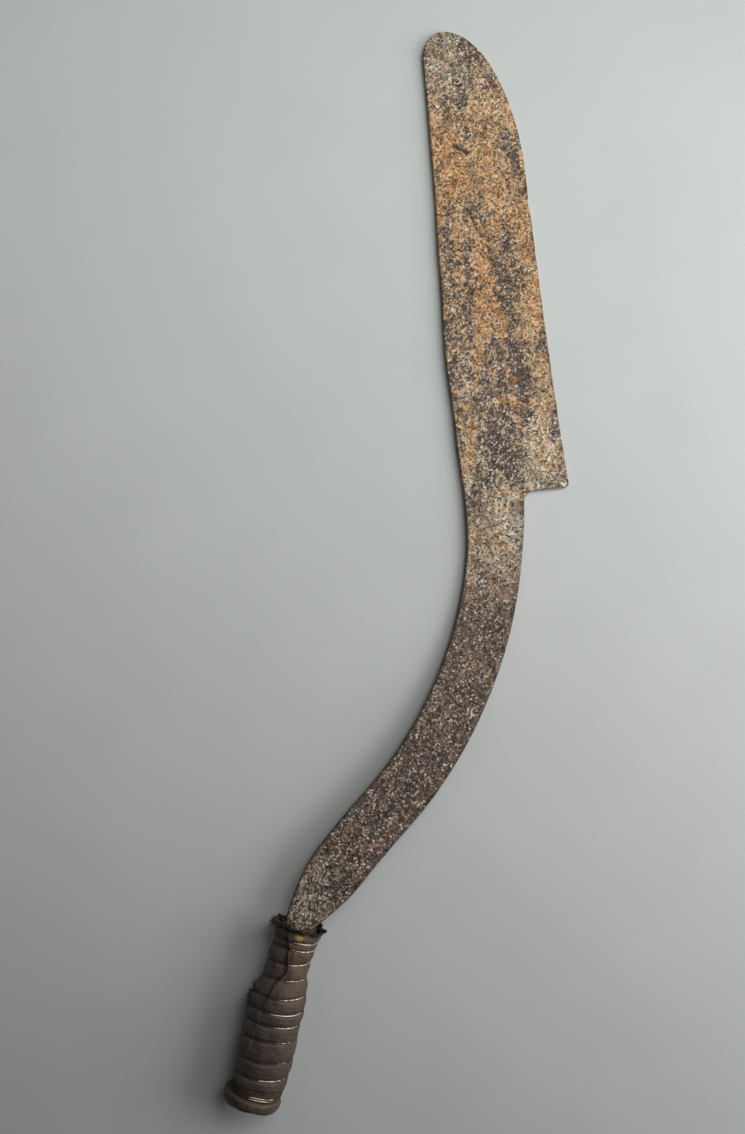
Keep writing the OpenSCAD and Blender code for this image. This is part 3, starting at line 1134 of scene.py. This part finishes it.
    def build(self) -> bpy.types.Object:
        """Builds the forging.

        Returns:
            The mesh object.
        """
        left, right, along = self.rows()
        self.wear_outline(left, right, along)
        width = np.linalg.norm(right - left, axis=1)
        shares, flat = self.grid(left, right, width)
        rows, m = shares.shape
        plan = flat.reshape(-1, 2)
        far = self.rim_distance(plan, left, right)
        top, bottom = self.heights(plan)
        from_neck = plan - self.neck_left
        row_along = np.repeat(along[:, 0], m)
        on_shank = row_along <= 0
        length = np.where(on_shank, row_along, from_neck @ self.up_blade)
        across = np.where(on_shank, (shares * width[:, None]).ravel(), from_neck @ self.over_blade)
        relief, pits, deep = self.hammering(columns(across, length, 0.0))
        # The relief fades towards the rims, on the thin edge and at the collar.
        thick = top - bottom
        calm = ease(far / 2.2) * np.clip(thick / self.bar_t, 0.25, 1) * ease((self.shank_len + length) / 8)
        top = top + np.maximum(relief[0] * calm, -0.55 * thick)
        bottom = bottom + np.maximum(-relief[1] * calm, 0) * 0.8
        thick = np.maximum(top - bottom, self.thinnest)
        drop = [
            r - np.sqrt(np.maximum(r * r - np.maximum(r - far, 0) ** 2, 0))
            for r in (np.minimum(0.9, 0.46 * thick), np.minimum(0.5, 0.4 * thick))
        ]
        faces = [
            np.concatenate([flat + self.shift, height.reshape(rows, m, 1)], 2)
            for height in (bottom + thick - drop[0], bottom + drop[1])
        ]
        ring = self.rings(faces, (right - left) / width[:, None])

        def spread(values: Array, other: Array | None = None) -> Array:
            """Lays the faces' values round the rings, with the rims' values on the walls.

            Args:
                values: Values on the upper face.
                other: Values on the lower face, where they differ.

            Returns:
                The values, ring after ring.
            """
            grid = values.reshape(rows, m)
            low = grid if other is None else other.reshape(rows, m)
            ends = [grid[:, -1:], low[:, -1:], low[:, ::-1], low[:, :1], grid[:, :1]]
            return np.concatenate([grid, *ends], 1).ravel()

        # The outline is painted darker, most on the bar: partly rust on the edges, partly painted shade on the
        # rounded rims.
        on_bar = length < 0
        rim = np.where(on_bar, 0.75, 0.35) * np.exp(-((far / np.where(on_bar, 1.1, 0.7)) ** 2))
        marks = {
            "lay": columns(spread(across), spread(length), ring[..., 2].ravel()) * MM,
            "deep": spread(np.maximum(deep, pits[0] * 0.9), pits[1] * 0.9),
            "rim": spread(rim),
        }
        marks.update({name: spread(values) for name, values in self.tints(across, length).items()})
        piece = make_mesh("rusted_forging", ring.reshape(-1, 3), tube_faces(rows, ring.shape[1]), marks)
        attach(piece, "root")
        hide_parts("blade_forging")
        return piece


@dataclass
class Grip:
    """The wooden grip with its wrap of linen and leather, and the wire that binds it."""

    collar: Array
    tilt: float = 15.0
    axis_z: float = 16.6
    grip_len: float = 106.0
    hem_at: float = 98.0
    collar_r: float = 9.4
    waist_r: float = 8.4
    belly_r: float = 12.3
    hem_r: float = 11.5
    pommel_r: float = 16.6
    pommel_round: float = 4.8
    shoulder_round: float = 2.2
    beak_r: float = 8.2
    beak_reach: float = 2.6
    beak_out: float = 1.1
    beak_tall: float = 1.45
    slot_half_w: float = 7.35
    slot_half_h: float = 2.6
    slot_len: float = 92.1
    linen_t: float = 0.9
    leather_t: float = 1.7
    leather_lip: float = 3.0
    hide_t: float = 1.0
    lap_t: float = 1.15
    lap_deg: float = 38.0
    # Radius at which the leather is laid flat for its pattern
    round_r: float = 13.0
    collar_threads: int = 84
    fringe_threads: int = 90
    wire_r: float = 0.34
    hem_turns: float = 3.4
    close_pitch: float = 1.25
    turn_at: tuple[float, ...] = (0, 0.06, 0.106, 0.2, 0.3, 0.41, 0.502, 0.578, 0.676, 0.808, 0.917, 1)
    # Where the leather stands out further than its plain round form, on the right and the left side
    right_fill: Run = (
        *((-5, 2.4), (0, 1.6), (10, 0.9), (20, 0.2), (30, 1.0)),
        *((45, 0.4), (64, 1.0), (91, 1.9), (98, 1.5)),
    )
    left_fill: Run = (
        *((-5, 1.5), (0, 1.3), (9, 1.1), (16, 2.2), (27, 1.2)),
        *((36, 1.4), (48, 1.8), (61, 1.2), (84, 0.5), (98, 0.3)),
    )
    seam_run: Run = ((-5, 114), (0, 112), (10, 100), (21, 92), (32, 112), (50, 126), (98, 140))

    def __post_init__(self) -> None:
        """Works out where the wire's turns lie."""
        wrap_end = self.hem_at - 0.1
        self.wire_first = -self.leather_lip / 2
        self.wire_last = wrap_end - 0.55 - self.hem_turns * self.close_pitch
        turns = [self.wire_first + (self.wire_last - self.wire_first) * t for t in self.turn_at]
        turns.append(self.wire_last + self.hem_turns * self.close_pitch)
        self.turn_s = np.array(turns)
        self.turn_n = np.array([*range(len(self.turn_at)), len(self.turn_at) - 1 + self.hem_turns])
        self.grain = Grain(31)

    def noise(self, size: float, *place: Any) -> Array:
        """Gives the grip's noise, with humps about as wide as size, at x, y and z."""
        return self.grain.at(columns(*place), size)

    def place(self, s: Any, r: Any, angle: Any) -> Array:
        """Gives points in the row frame.

        Args:
            s: Distance along the grip from the collar.
            r: Distance from its axis.
            angle: Angle round it in degrees, from the right over the top.

        Returns:
            The points, one to a row.
        """
        t, a = math.radians(self.tilt), np.radians(angle)
        u = r * np.cos(a)
        x = self.collar[0] - s * math.sin(t) + u * math.cos(t)
        y = self.collar[1] - s * math.cos(t) - u * math.sin(t)
        return columns(x, y, self.axis_z + r * np.sin(a))

    def wood_r(self, s: Any) -> Array:
        """Gives the wood's radius under the wrap.

        Args:
            s: Distance along the grip.

        Returns:
            The radius.
        """
        run = ((0, self.collar_r), (0.18, self.waist_r), (0.5, self.belly_r), (0.7, self.belly_r), (1, self.hem_r))
        return eased(run, np.maximum(0, np.asarray(s) / self.hem_at))

    def turn_of(self, s: Any, angle: Any) -> tuple[Array, Array]:
        """Gives how a place on the wrap lies between two turns of wire.

        Args:
            s: Distance along the grip.
            angle: Angle round it in degrees.

        Returns:
            The share of the way to the next turn, and the distance to the nearer one.
        """
        n = np.interp(s, self.turn_s, self.turn_n)
        pitch = np.interp(n, self.turn_n[:-1] + 0.5, np.diff(self.turn_s) / np.diff(self.turn_n))
        share = np.mod(n - (angle - 90) / 360, 1)
        return share, np.minimum(share, 1 - share) * pitch

    def skin(self, s: Array, angle: Array) -> Array:
        """Gives the radius of the leather's outside.

        Args:
            s: Distance along the grip.
            angle: Angle from the seam's line, in degrees, going on past a full turn on the flap that lies on top.

        Returns:
            The radius.
        """
        base = self.wood_r(s) + 0.2 + self.linen_t + self.leather_t
        lip = np.maximum(0, -s) / self.leather_lip
        base = base + np.minimum(lip * lip, 1.6)
        side = np.cos(np.radians(angle))
        fill = np.where(side > 0, eased(self.right_fill, s), eased(self.left_fill, s)) * np.abs(side) ** 1.4
        # The leather swells between the turns of wire and is pinched under them.
        share, gap = self.turn_of(s, angle)
        open_run = ease((self.wire_last - s + 1) / 3)
        pitch = np.clip(gap / np.maximum(np.minimum(share, 1 - share), 1e-3), 1, 14)
        uneven = 0.45 * (1 + 0.6 * self.noise(14.0, np.radians(angle) * 9, s, 1.0))
        swell = uneven * np.sin(np.pi * share) ** 0.75 * np.clip(pitch / 8, 0.3, 1.25) * open_run
        pinch = 0.5 * np.exp(-((gap / 1.2) ** 2)) * open_run + 0.6 * (1 - open_run)
        spot = columns(np.radians(angle) * self.round_r, s, 0.0)
        pucker = 0.22 * self.grain.at(spot / np.array([1.9, 6.0, 1]), 1.0) * (0.35 + np.exp(-gap / 2.0))
        dents = 0.6 * self.grain.at(spot + 11, 9.5) + 0.25 * self.grain.at(spot + 23, 4.6)
        dents = dents + 0.1 * self.grain.at(spot + 5, 2.4)
        frill = self.grain.at(spot + 3, 3.2) * ease((1.5 - s) / 4)
        lap_from = eased(self.seam_run, s) + 360 - 100
        over = ease((angle - lap_from) / 100) * self.lap_t * ease((62 - s) / 30)
        return base + fill + swell - pinch + pucker + dents + frill + over

    def cap(self, r: Array, angle: Array) -> Array:
        """Keeps a radius clear of the surface that the tool lies on."""
        down = np.maximum(-np.sin(np.radians(angle)), 1e-3)
        return np.minimum(r, (self.axis_z - 0.35) / down)

    def wear(self, s: Array, angle: Array, outside: Array) -> dict[str, Array]:
        """Gives where the leather is painted lighter, as painted light on its lit side and as wear, where it is
        rubbed bare, and where painted shade darkens its creases.

        Args:
            s: Distance along the grip.
            angle: Angle round it.
            outside: Radius there.

        Returns:
            The values for each point, by attribute name.
        """
        _, gap = self.turn_of(s, angle)
        side, top = np.cos(np.radians(angle)), np.sin(np.radians(angle))
        flap = np.mod(angle - eased(self.seam_run, s), 360)
        # Painted light and shade: lighter on the right and on top, where the lamps light it, and darker on the
        # shaded left. It is also lighter on the upper flap beside its edge and in spots on top. Some of it is wear
        # from hands.
        painted_light_and_wear = 0.15 + 0.45 * ease((side + 0.1) / 0.5) * ease(top + 0.6) - 0.2 * ease(-side * 1.4)
        painted_light_and_wear += 0.35 * np.exp(-(((flap - 335) / 22) ** 2)) * ease((60 - s) / 30)
        painted_light_and_wear += 0.3 * np.exp(-(((s - 5) / 8) ** 2)) * ease(top)
        painted_light_and_wear += 0.25 * np.exp(-(((s - 34) / 9) ** 2)) * ease(side + 0.3) * ease(top)
        # Painted shade: dark in the grooves beside the turns of wire, most on the right and on top, and just left of
        # the upper flap's free edge, where its shadow falls.
        under_wire = 0.45 * np.exp(-((gap / 0.75) ** 2)) * ease((self.wire_last - s) / 2)
        along_lap = np.exp(-((np.minimum(flap, 24) / 8.5) ** 2)) * ease((52 - s) / 22) * ease((s + 1) / 3)
        crease_shade_and_dark_lip = np.maximum(under_wire * (0.4 + 0.6 * ease(side + 0.8)), 0.5 * along_lap)
        return {
            "lay": columns(np.radians(angle) * self.round_r, s, outside) * MM,
            "painted_light_and_wear": painted_light_and_wear,
            "worn": 1.3 * np.exp(-((s / 2.6) ** 2) - (((angle % 360) - 82) / 15) ** 2),
            # The lip at the collar is darkened as well.
            "crease_shade_and_dark_lip": np.maximum(crease_shade_and_dark_lip, 0.85 * ease((0.2 - s) / 1.5)),
        }

    def leather(self) -> bpy.types.Object:
        """Builds the leather, one sheet round the grip whose right side laps over its left one.

        Returns:
            The mesh object.
        """
        rows, count = 216, 158
        turn = np.linspace(0, 1, count)[None, :]
        sweep = -self.lap_deg + (360 + self.lap_deg) * turn
        at_collar = eased(self.seam_run, 0.0) + sweep
        wave = self.noise(1.0, at_collar / 9, 0.0, 0.0) + 0.6 * self.noise(1.0, at_collar / 3.3, 1.0, 0.0)
        corner = np.exp(-(((np.mod(at_collar + 180, 360) - 180 - 8) / 9) ** 2))
        start = -self.leather_lip - 0.3 + wave[None] - 0.8 * corner
        s = start + (self.hem_at - 0.1 - start) * np.linspace(0, 1, rows)[:, None]
        seam = eased(self.seam_run, s)
        ragged = 1.6 * self.noise(2.6, s, 4.0, 0.0).reshape(s.shape)
        angle = seam - self.lap_deg + (360 + self.lap_deg) * turn + ragged * turn**6
        flat_s, flat_a = s.ravel(), angle.ravel()
        under = ease((self.lap_deg - (flat_a - seam.ravel() + self.lap_deg)) / 10) * self.lap_t
        outside = self.cap(self.skin(flat_s, flat_a) - under, flat_a)
        outside = outside + (1.2 * corner * ease((0.5 - s) / 4)).ravel()
        outer, inner = (
            self.place(flat_s, r, flat_a).reshape(rows, count, 3) for r in (outside, outside - self.hide_t)
        )
        ring = np.concatenate([outer, inner[:, ::-1]], 1)

        def doubled(values: Array) -> Array:
            """Lays the outside's values on the inside too.

            Args:
                values: Values of the outside's points.

            Returns:
                Values of the rings' points.
            """
            grid = values.reshape(rows, count, -1)
            both = np.concatenate([grid, grid[:, ::-1]], 1)
            return both.reshape(-1, 3) if values.ndim == 2 else both.ravel()

        marks = {name: doubled(values) for name, values in self.wear(flat_s, flat_a, outside).items()}
        piece = make_mesh("lapped_leather", ring.reshape(-1, 3), tube_faces(rows, 2 * count), marks)
        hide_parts("leather_wrap")
        return piece

    def wire(self) -> bpy.types.Object:
        """Builds the wire, bedded in the leather and with both ends tucked in.

        Returns:
            The mesh object.
        """
        sides, last = 8, self.turn_n[-1]
        n = np.linspace(0, last, 1700)
        s = np.interp(n, self.turn_n, self.turn_s)
        angle = 90 + 360 * n
        side, top = np.cos(np.radians(angle)), np.sin(np.radians(angle))
        seam = eased(self.seam_run, s)
        radius = self.skin(s, seam + np.mod(angle - seam, 360))
        radius = np.convolve(np.pad(radius, 4, mode="edge"), np.ones(9) / 9, mode="valid")
        single = ease((11 - n) / 0.5)
        s = s + 0.22 * self.noise(1.0, n * 9, 0.0, 0.0) * single
        radius = radius + 0.3 - 0.4 * ease(-side * 1.2) * single
        tuck = 1.8 * ease((0.06 - n) / 0.06) + 1.6 * ease((n - last + 0.05) / 0.05)
        # The second turn lies aslant.
        s = s - 1.7 * np.exp(-(((n - 2.13) / 0.11) ** 2))
        radius = self.cap(radius - tuck + self.wire_r, angle) - self.wire_r
        points = strand(self.place(s, radius, angle), np.full(len(n), self.wire_r), sides)
        # It is painted bright on the right and on top, most of all on the hem, and on short stretches of two turns:
        # partly rubbed brass, partly painted highlight where the lamps catch it.
        rubbed = 0.15 + 0.5 * ease((side + 0.3) / 0.5) * ease(top + 0.3) - 0.3 * ease((n - 7.4) / 1)
        rubbed += 0.4 * np.exp(-(((n - 10.02) / 0.2) ** 2)) + 0.35 * np.exp(-(((n - 6.0) / 0.12) ** 2))
        rubbed += 0.6 * ease((n - 12.0) / 0.6) * np.exp(-(((np.mod(angle, 360) - 92) / 34) ** 2))
        lay = columns(n * 85, s, 0.0) * MM
        marks = {"lay": np.repeat(lay, sides, 0), "rubbed": np.repeat(rubbed, sides)}
        piece = make_mesh("tarnished_wire", points, tube_faces(len(n), sides), marks)
        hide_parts("binding_wire")
        return piece

    def linen(self) -> bpy.types.Object:
        """Builds the linen sleeve, with an uneven edge at the collar.

        Returns:
            The mesh object.
        """
        rows, around = 60, 110
        angle = np.linspace(0, 360, around, endpoint=False)[None]
        start = -3.2 + 1.1 * self.noise(1.0, angle / 7, 8.0, 0.0)[None]
        s = start + (self.hem_at - 0.2 - start) * np.linspace(0, 1, rows)[:, None] ** 1.3
        radius = self.wood_r(s) + 0.1
        fold = 0.3 * self.noise(1.0, angle / 8, s / 3, 0.0).reshape(s.shape) * ease((2 - s) / 3)
        points = np.concatenate([self.place(s, radius + gap + fold, angle) for gap in (self.linen_t, 0.0)])
        quads = band(rows, around)
        faces = quads.tolist() + (quads[:, ::-1] + rows * around).tolist()
        for row in (0, rows - 1):
            a = row * around + np.arange(around)
            b = row * around + (np.arange(around) + 1) % around
            hem = np.stack([a, a + rows * around, b + rows * around, b], 1)
            faces += (hem if row == 0 else hem[:, ::-1]).tolist()
        lay = columns(np.radians(angle) * 12, s, 0.0) * MM
        piece = make_mesh("linen_sleeve", points, faces, {"lay": np.concatenate([lay, lay])})
        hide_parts("linen_underwrap")
        return piece

    def threads(self) -> bpy.types.Object:
        """Builds the loose threads: a tangle at the collar and a ragged fringe on the left side.

        Returns:
            The mesh object.
        """
        rng = np.random.default_rng(17)
        points, faces, lays, starts = [], [], [], []
        for _ in range(self.collar_threads):
            left = rng.random() < 0.7
            angle = rng.normal(170, 16) if left else rng.normal(75, 45)
            at = rng.uniform(-4.2, -2.0)
            starts.append((at, angle, rng.uniform(3.0, 6.5) if left else rng.uniform(1.5, 3.5), 0.75))
        for _ in range(self.fringe_threads):
            at = 37 + 21 * rng.beta(1.2, 1.8)
            starts.append((at, rng.normal(178, 10), rng.uniform(1.6, 4.0), 0.7))
        count, sides = 9, 5
        steps = np.linspace(0, 1, count)
        for s0, angle0, length, lift in starts:
            collar = s0 < 0
            r0 = self.skin(np.array([s0]), np.array([angle0]))[0] - (1.6 if collar else 0.8)
            bend, twist = rng.normal(0, 0.9), rng.normal(0, 14)
            droop = (rng.uniform(0.0, 0.9) if collar else rng.uniform(-0.6, 0.6)) * length
            s = s0 + droop * steps**1.6
            r = r0 + length * steps * lift + 0.6 * bend * np.sin(np.pi * steps)
            path = self.place(s, r, angle0 + twist * steps + 6 * bend * steps**2)
            path[:, 2] = np.maximum(path[:, 2] - 0.9 * length * 0.25 * steps**2, 0.4)
            radius = rng.uniform(0.18, 0.3 if collar else 0.42) * (1 - 0.55 * steps)
            faces += tube_faces(count, sides, sides * count * len(points))
            points.append(strand(path, radius, sides))
            lays.append(np.repeat(columns(steps * length, s, r) * MM, sides, 0))
        piece = make_mesh("frayed_threads", np.concatenate(points), faces, {"lay": np.concatenate(lays)})
        return piece

    def profile(self) -> Array:
        """Gives the turned outline of the wood from the collar to the middle of its end.

        Returns:
            Distance from the axis and distance along, with two stations at the end of the tang's slot.
        """
        side = [(float(self.wood_r(x)), x) for x in np.linspace(0, self.hem_at, 50)]
        far = self.pommel_r - self.shoulder_round
        for a in np.radians(np.linspace(-90, 0, 7)):
            out, up = self.shoulder_round * math.cos(a), self.shoulder_round * (1 + math.sin(a))
            side.append((far + out, self.hem_at + up))
        far, low = self.pommel_r - self.pommel_round, self.grip_len - self.pommel_round
        side += [(self.pommel_r, low - x) for x in (0.6, 0.0)]
        side += arc(far, low, self.pommel_round, np.radians(np.linspace(6, 90, 15)))
        side += [(x, self.grip_len) for x in np.linspace(far, 0.3, 16)[1:]]
        cut = sum(x <= self.slot_len for _, x in side)
        ends = [(side[cut - 1][0], x) for x in (self.slot_len, self.slot_len + 0.05)]
        return np.array(side[:cut] + ends + side[cut:])

    def carved(self, u: Array, s: Array, z: Array, sign: float) -> tuple[Array, Array, Array]:
        """Shapes the turned pommel: knife marks, the beak on its left, and the valley across its end.

        Args:
            u: Distance to the right of the axis.
            s: Distance along.
            z: Distance from the flat between the halves.
            sign: 1 for the upper half and -1 for the lower one.

        Returns:
            The three distances after carving.
        """
        spot = columns(u + 50 * sign, s, z)
        carve = (0.45 * self.grain.at(spot, 9) + 0.14 * self.grain.at(spot, 3)).reshape(u.shape)
        carve *= ease((s - self.hem_at + 1) / 3) * ease(z / 2.0)
        shrink = 1 - np.abs(carve) / np.maximum(np.sqrt(u * u + z * z) + 1e-6, 4)
        u, z = u * shrink, z * shrink
        beak = (self.beak_r - self.pommel_r - self.beak_out, self.grip_len + self.beak_reach - self.beak_r)
        gap = np.stack([u - beak[0], s - beak[1], z / self.beak_tall], -1)
        reach = np.linalg.norm(gap, axis=-1)
        inside = (reach < self.beak_r) & (s > self.hem_at + 0.3)
        push = np.where(inside, self.beak_r / np.maximum(reach, 1.2), 1.0)
        u, s, z = beak[0] + gap[..., 0] * push, beak[1] + gap[..., 1] * push, gap[..., 2] * push * self.beak_tall
        valley = 0.9 * np.exp(-(((u - 1.5) / 5.0) ** 2)) * ease((s - self.grip_len + 3) / 3)
        return u, s - valley, z

    def scale(self, upper: bool) -> bpy.types.Object:
        """Builds one half of the wood, with its half of the pommel and of the tang's slot.

        Args:
            upper: Whether it is the half above the tang.

        Returns:
            The mesh object.
        """
        sign, around, lift = (1.0 if upper else -1.0), 61, 0.05
        profile = self.profile()
        angle = np.radians(np.linspace(0, 180, around))[None]
        r, along = profile[:, :1], profile[:, 1:]
        u, s, z = self.carved(r * np.cos(angle), np.repeat(along, around, 1), r * np.sin(angle), sign)
        z = sign * (z + lift)
        open_slot = along <= self.slot_len + 0.01
        half_w = np.minimum(np.where(open_slot, self.slot_half_w, 0.2), np.abs(u[:, :1]) * 0.6)
        half_h = np.where(open_slot, self.slot_half_h, lift)
        slot_u = np.concatenate([-half_w, -half_w, half_w, half_w], 1)
        slot_z = sign * np.concatenate([np.full_like(half_h, lift), half_h, half_h, np.full_like(half_h, lift)], 1)
        # Past the tang's end the flat between the halves stays inside the pommel's skin.
        slot_s = np.repeat(np.where(open_slot, s[:, :1], np.min(s, axis=1, keepdims=True) - 0.3), 4, axis=1)
        u, z, s = (np.concatenate(pair, 1) for pair in ((u, slot_u), (z, slot_z), (s, slot_s)))
        points = self.place(s.ravel(), np.hypot(u, z).ravel(), np.degrees(np.arctan2(z, u)).ravel())
        faces = tube_faces(len(profile), around + 4)
        if not upper:
            faces = [f[::-1] for f in faces]
        radius = np.hypot(u, z)
        worn = 0.6 * ease((s - self.grip_len + 2.6) / 2.2) * ease((14 - z) / 16) * ease((radius - 6) / 6)
        split = 0.8 * np.exp(-((z / 0.35) ** 2))
        marks = {"lay": columns(u, s, z) * MM, "worn": worn.ravel(), "split": split.ravel()}
        piece = make_mesh("upper_wood_scale" if upper else "lower_wood_scale", points, faces, marks)
        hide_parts("upper_grip_scale" if upper else "lower_grip_scale")
        return piece

    def build(self) -> dict[str, list[bpy.types.Object]]:
        """Builds every piece of the grip.

        Returns:
            The pieces, by the finish that they take.
        """
        made = {
            "wood": [self.scale(upper) for upper in (True, False)],
            "linen": [self.linen(), self.threads()],
            "leather": [self.leather()],
            "wire": [self.wire()],
        }
        for pieces in made.values():
            for piece in pieces:
                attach(piece, "root")
        return made


@dataclass(frozen=True)
class Lamp:
    """A soft box with a grid: where it hangs, where on the floor it points, its side, spread, power and colour."""

    name: str
    place: tuple[float, float, float]
    aim: tuple[float, float]
    side: float
    spread: float
    power: float
    colour: str = "#ffffff"


@dataclass
class Studio:
    """Pale floor, soft lamps and the camera straight above."""

    camera_height: float = 0.720
    camera_place: tuple[float, float] = (-0.0154, -0.0009)
    view_height: float = 0.6804
    sensor_w: float = 36.0
    floor_half: float = 3000.0
    room_colour: str = "#dfe6ea"
    room_strength: float = 0.02
    lamps: tuple[Lamp, ...] = (
        Lamp("top_softbox", (0.298, 0.46, 0.85), (-0.2, 0.27), 0.5, 1.7, 1.5, "#fbfffa"),
        Lamp("side_softbox", (0.8, 0.05, 0.37), (0.4, -0.04), 0.8, 2.8, 6.2, "#fdfeff"),
        Lamp("fill_softbox", (-0.45, 0.35, 0.6), (-0.25, 0.2), 0.6, 1.6, 0.16),
    )

    def camera(self) -> None:
        """Stands the camera over the middle of the tool."""
        camera = bpy.data.objects.new("camera", bpy.data.cameras.new("camera"))
        camera.data.sensor_width = self.sensor_w
        camera.data.lens = self.sensor_w * self.camera_height / self.view_height
        camera.location = (*self.camera_place, self.camera_height)
        bpy.context.scene.collection.objects.link(camera)
        bpy.context.scene.camera = camera

    def hang(self, lamp: Lamp) -> None:
        """Hangs one soft box.

        Args:
            lamp: What it is.
        """
        light = bpy.data.lights.new(lamp.name, "AREA")
        light.size, light.spread, light.energy = lamp.side, lamp.spread, lamp.power
        light.color = linear(lamp.colour)[:3]
        holder = bpy.data.objects.new(lamp.name, light)
        holder.location = lamp.place
        aim = holder.location - Vector((*lamp.aim, 0.0))
        holder.rotation_euler = aim.to_track_quat("Z", "Y").to_euler()
        bpy.context.scene.collection.objects.link(holder)

    def room(self) -> None:
        """Gives the room its faint light."""
        world = bpy.data.worlds.new("room")
        world.use_nodes = True
        background = world.node_tree.nodes["Background"].inputs
        background["Color"].default_value = linear(self.room_colour)
        background["Strength"].default_value = self.room_strength
        bpy.context.scene.world = world

    def build(self) -> bpy.types.Object:
        """Builds camera, lamps, the room's light and the floor.

        Returns:
            The floor.
        """
        self.camera()
        for lamp in self.lamps:
            self.hang(lamp)
        self.room()
        bpy.context.scene.view_settings.view_transform = "Standard"
        signs = ((-1, -1), (1, -1), (1, 1), (-1, 1))
        edges = np.array([(self.floor_half * x, self.floor_half * y, 0) for x, y in signs])
        floor = make_mesh("paper_floor", edges, [(0, 1, 2, 3)])
        return floor


def main() -> None:
    """Builds the sickle's pieces in order and dresses them."""
    logging.basicConfig(level=logging.INFO, format="%(message)s")
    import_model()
    floor = Studio().build()
    MattPaper().build().dress(floor)
    forging = Forging()
    iron = forging.build()
    RustedIron().build().dress(iron)
    LOG.info("%s: %d faces", iron.name, len(iron.data.polygons))
    grip = Grip(collar=forging.collar + forging.shift)
    finishes = {"wood": HandledAsh(), "linen": CoarseLinen(), "leather": WaxedLeather(), "wire": DrawnWire()}
    for name, pieces in grip.build().items():
        finishes[name].build().dress(*pieces)
        for piece in pieces:
            LOG.info("%s: %d faces", piece.name, len(piece.data.polygons))
    pins = [bpy.data.objects[name] for name in ("collar_grip_pin", "pommel_grip_pin")]
    PinIron().build().dress(*pins)
    for pin in pins:
        LOG.info("%s: CAD node", pin.name)


if __name__ == "__main__":
    main()
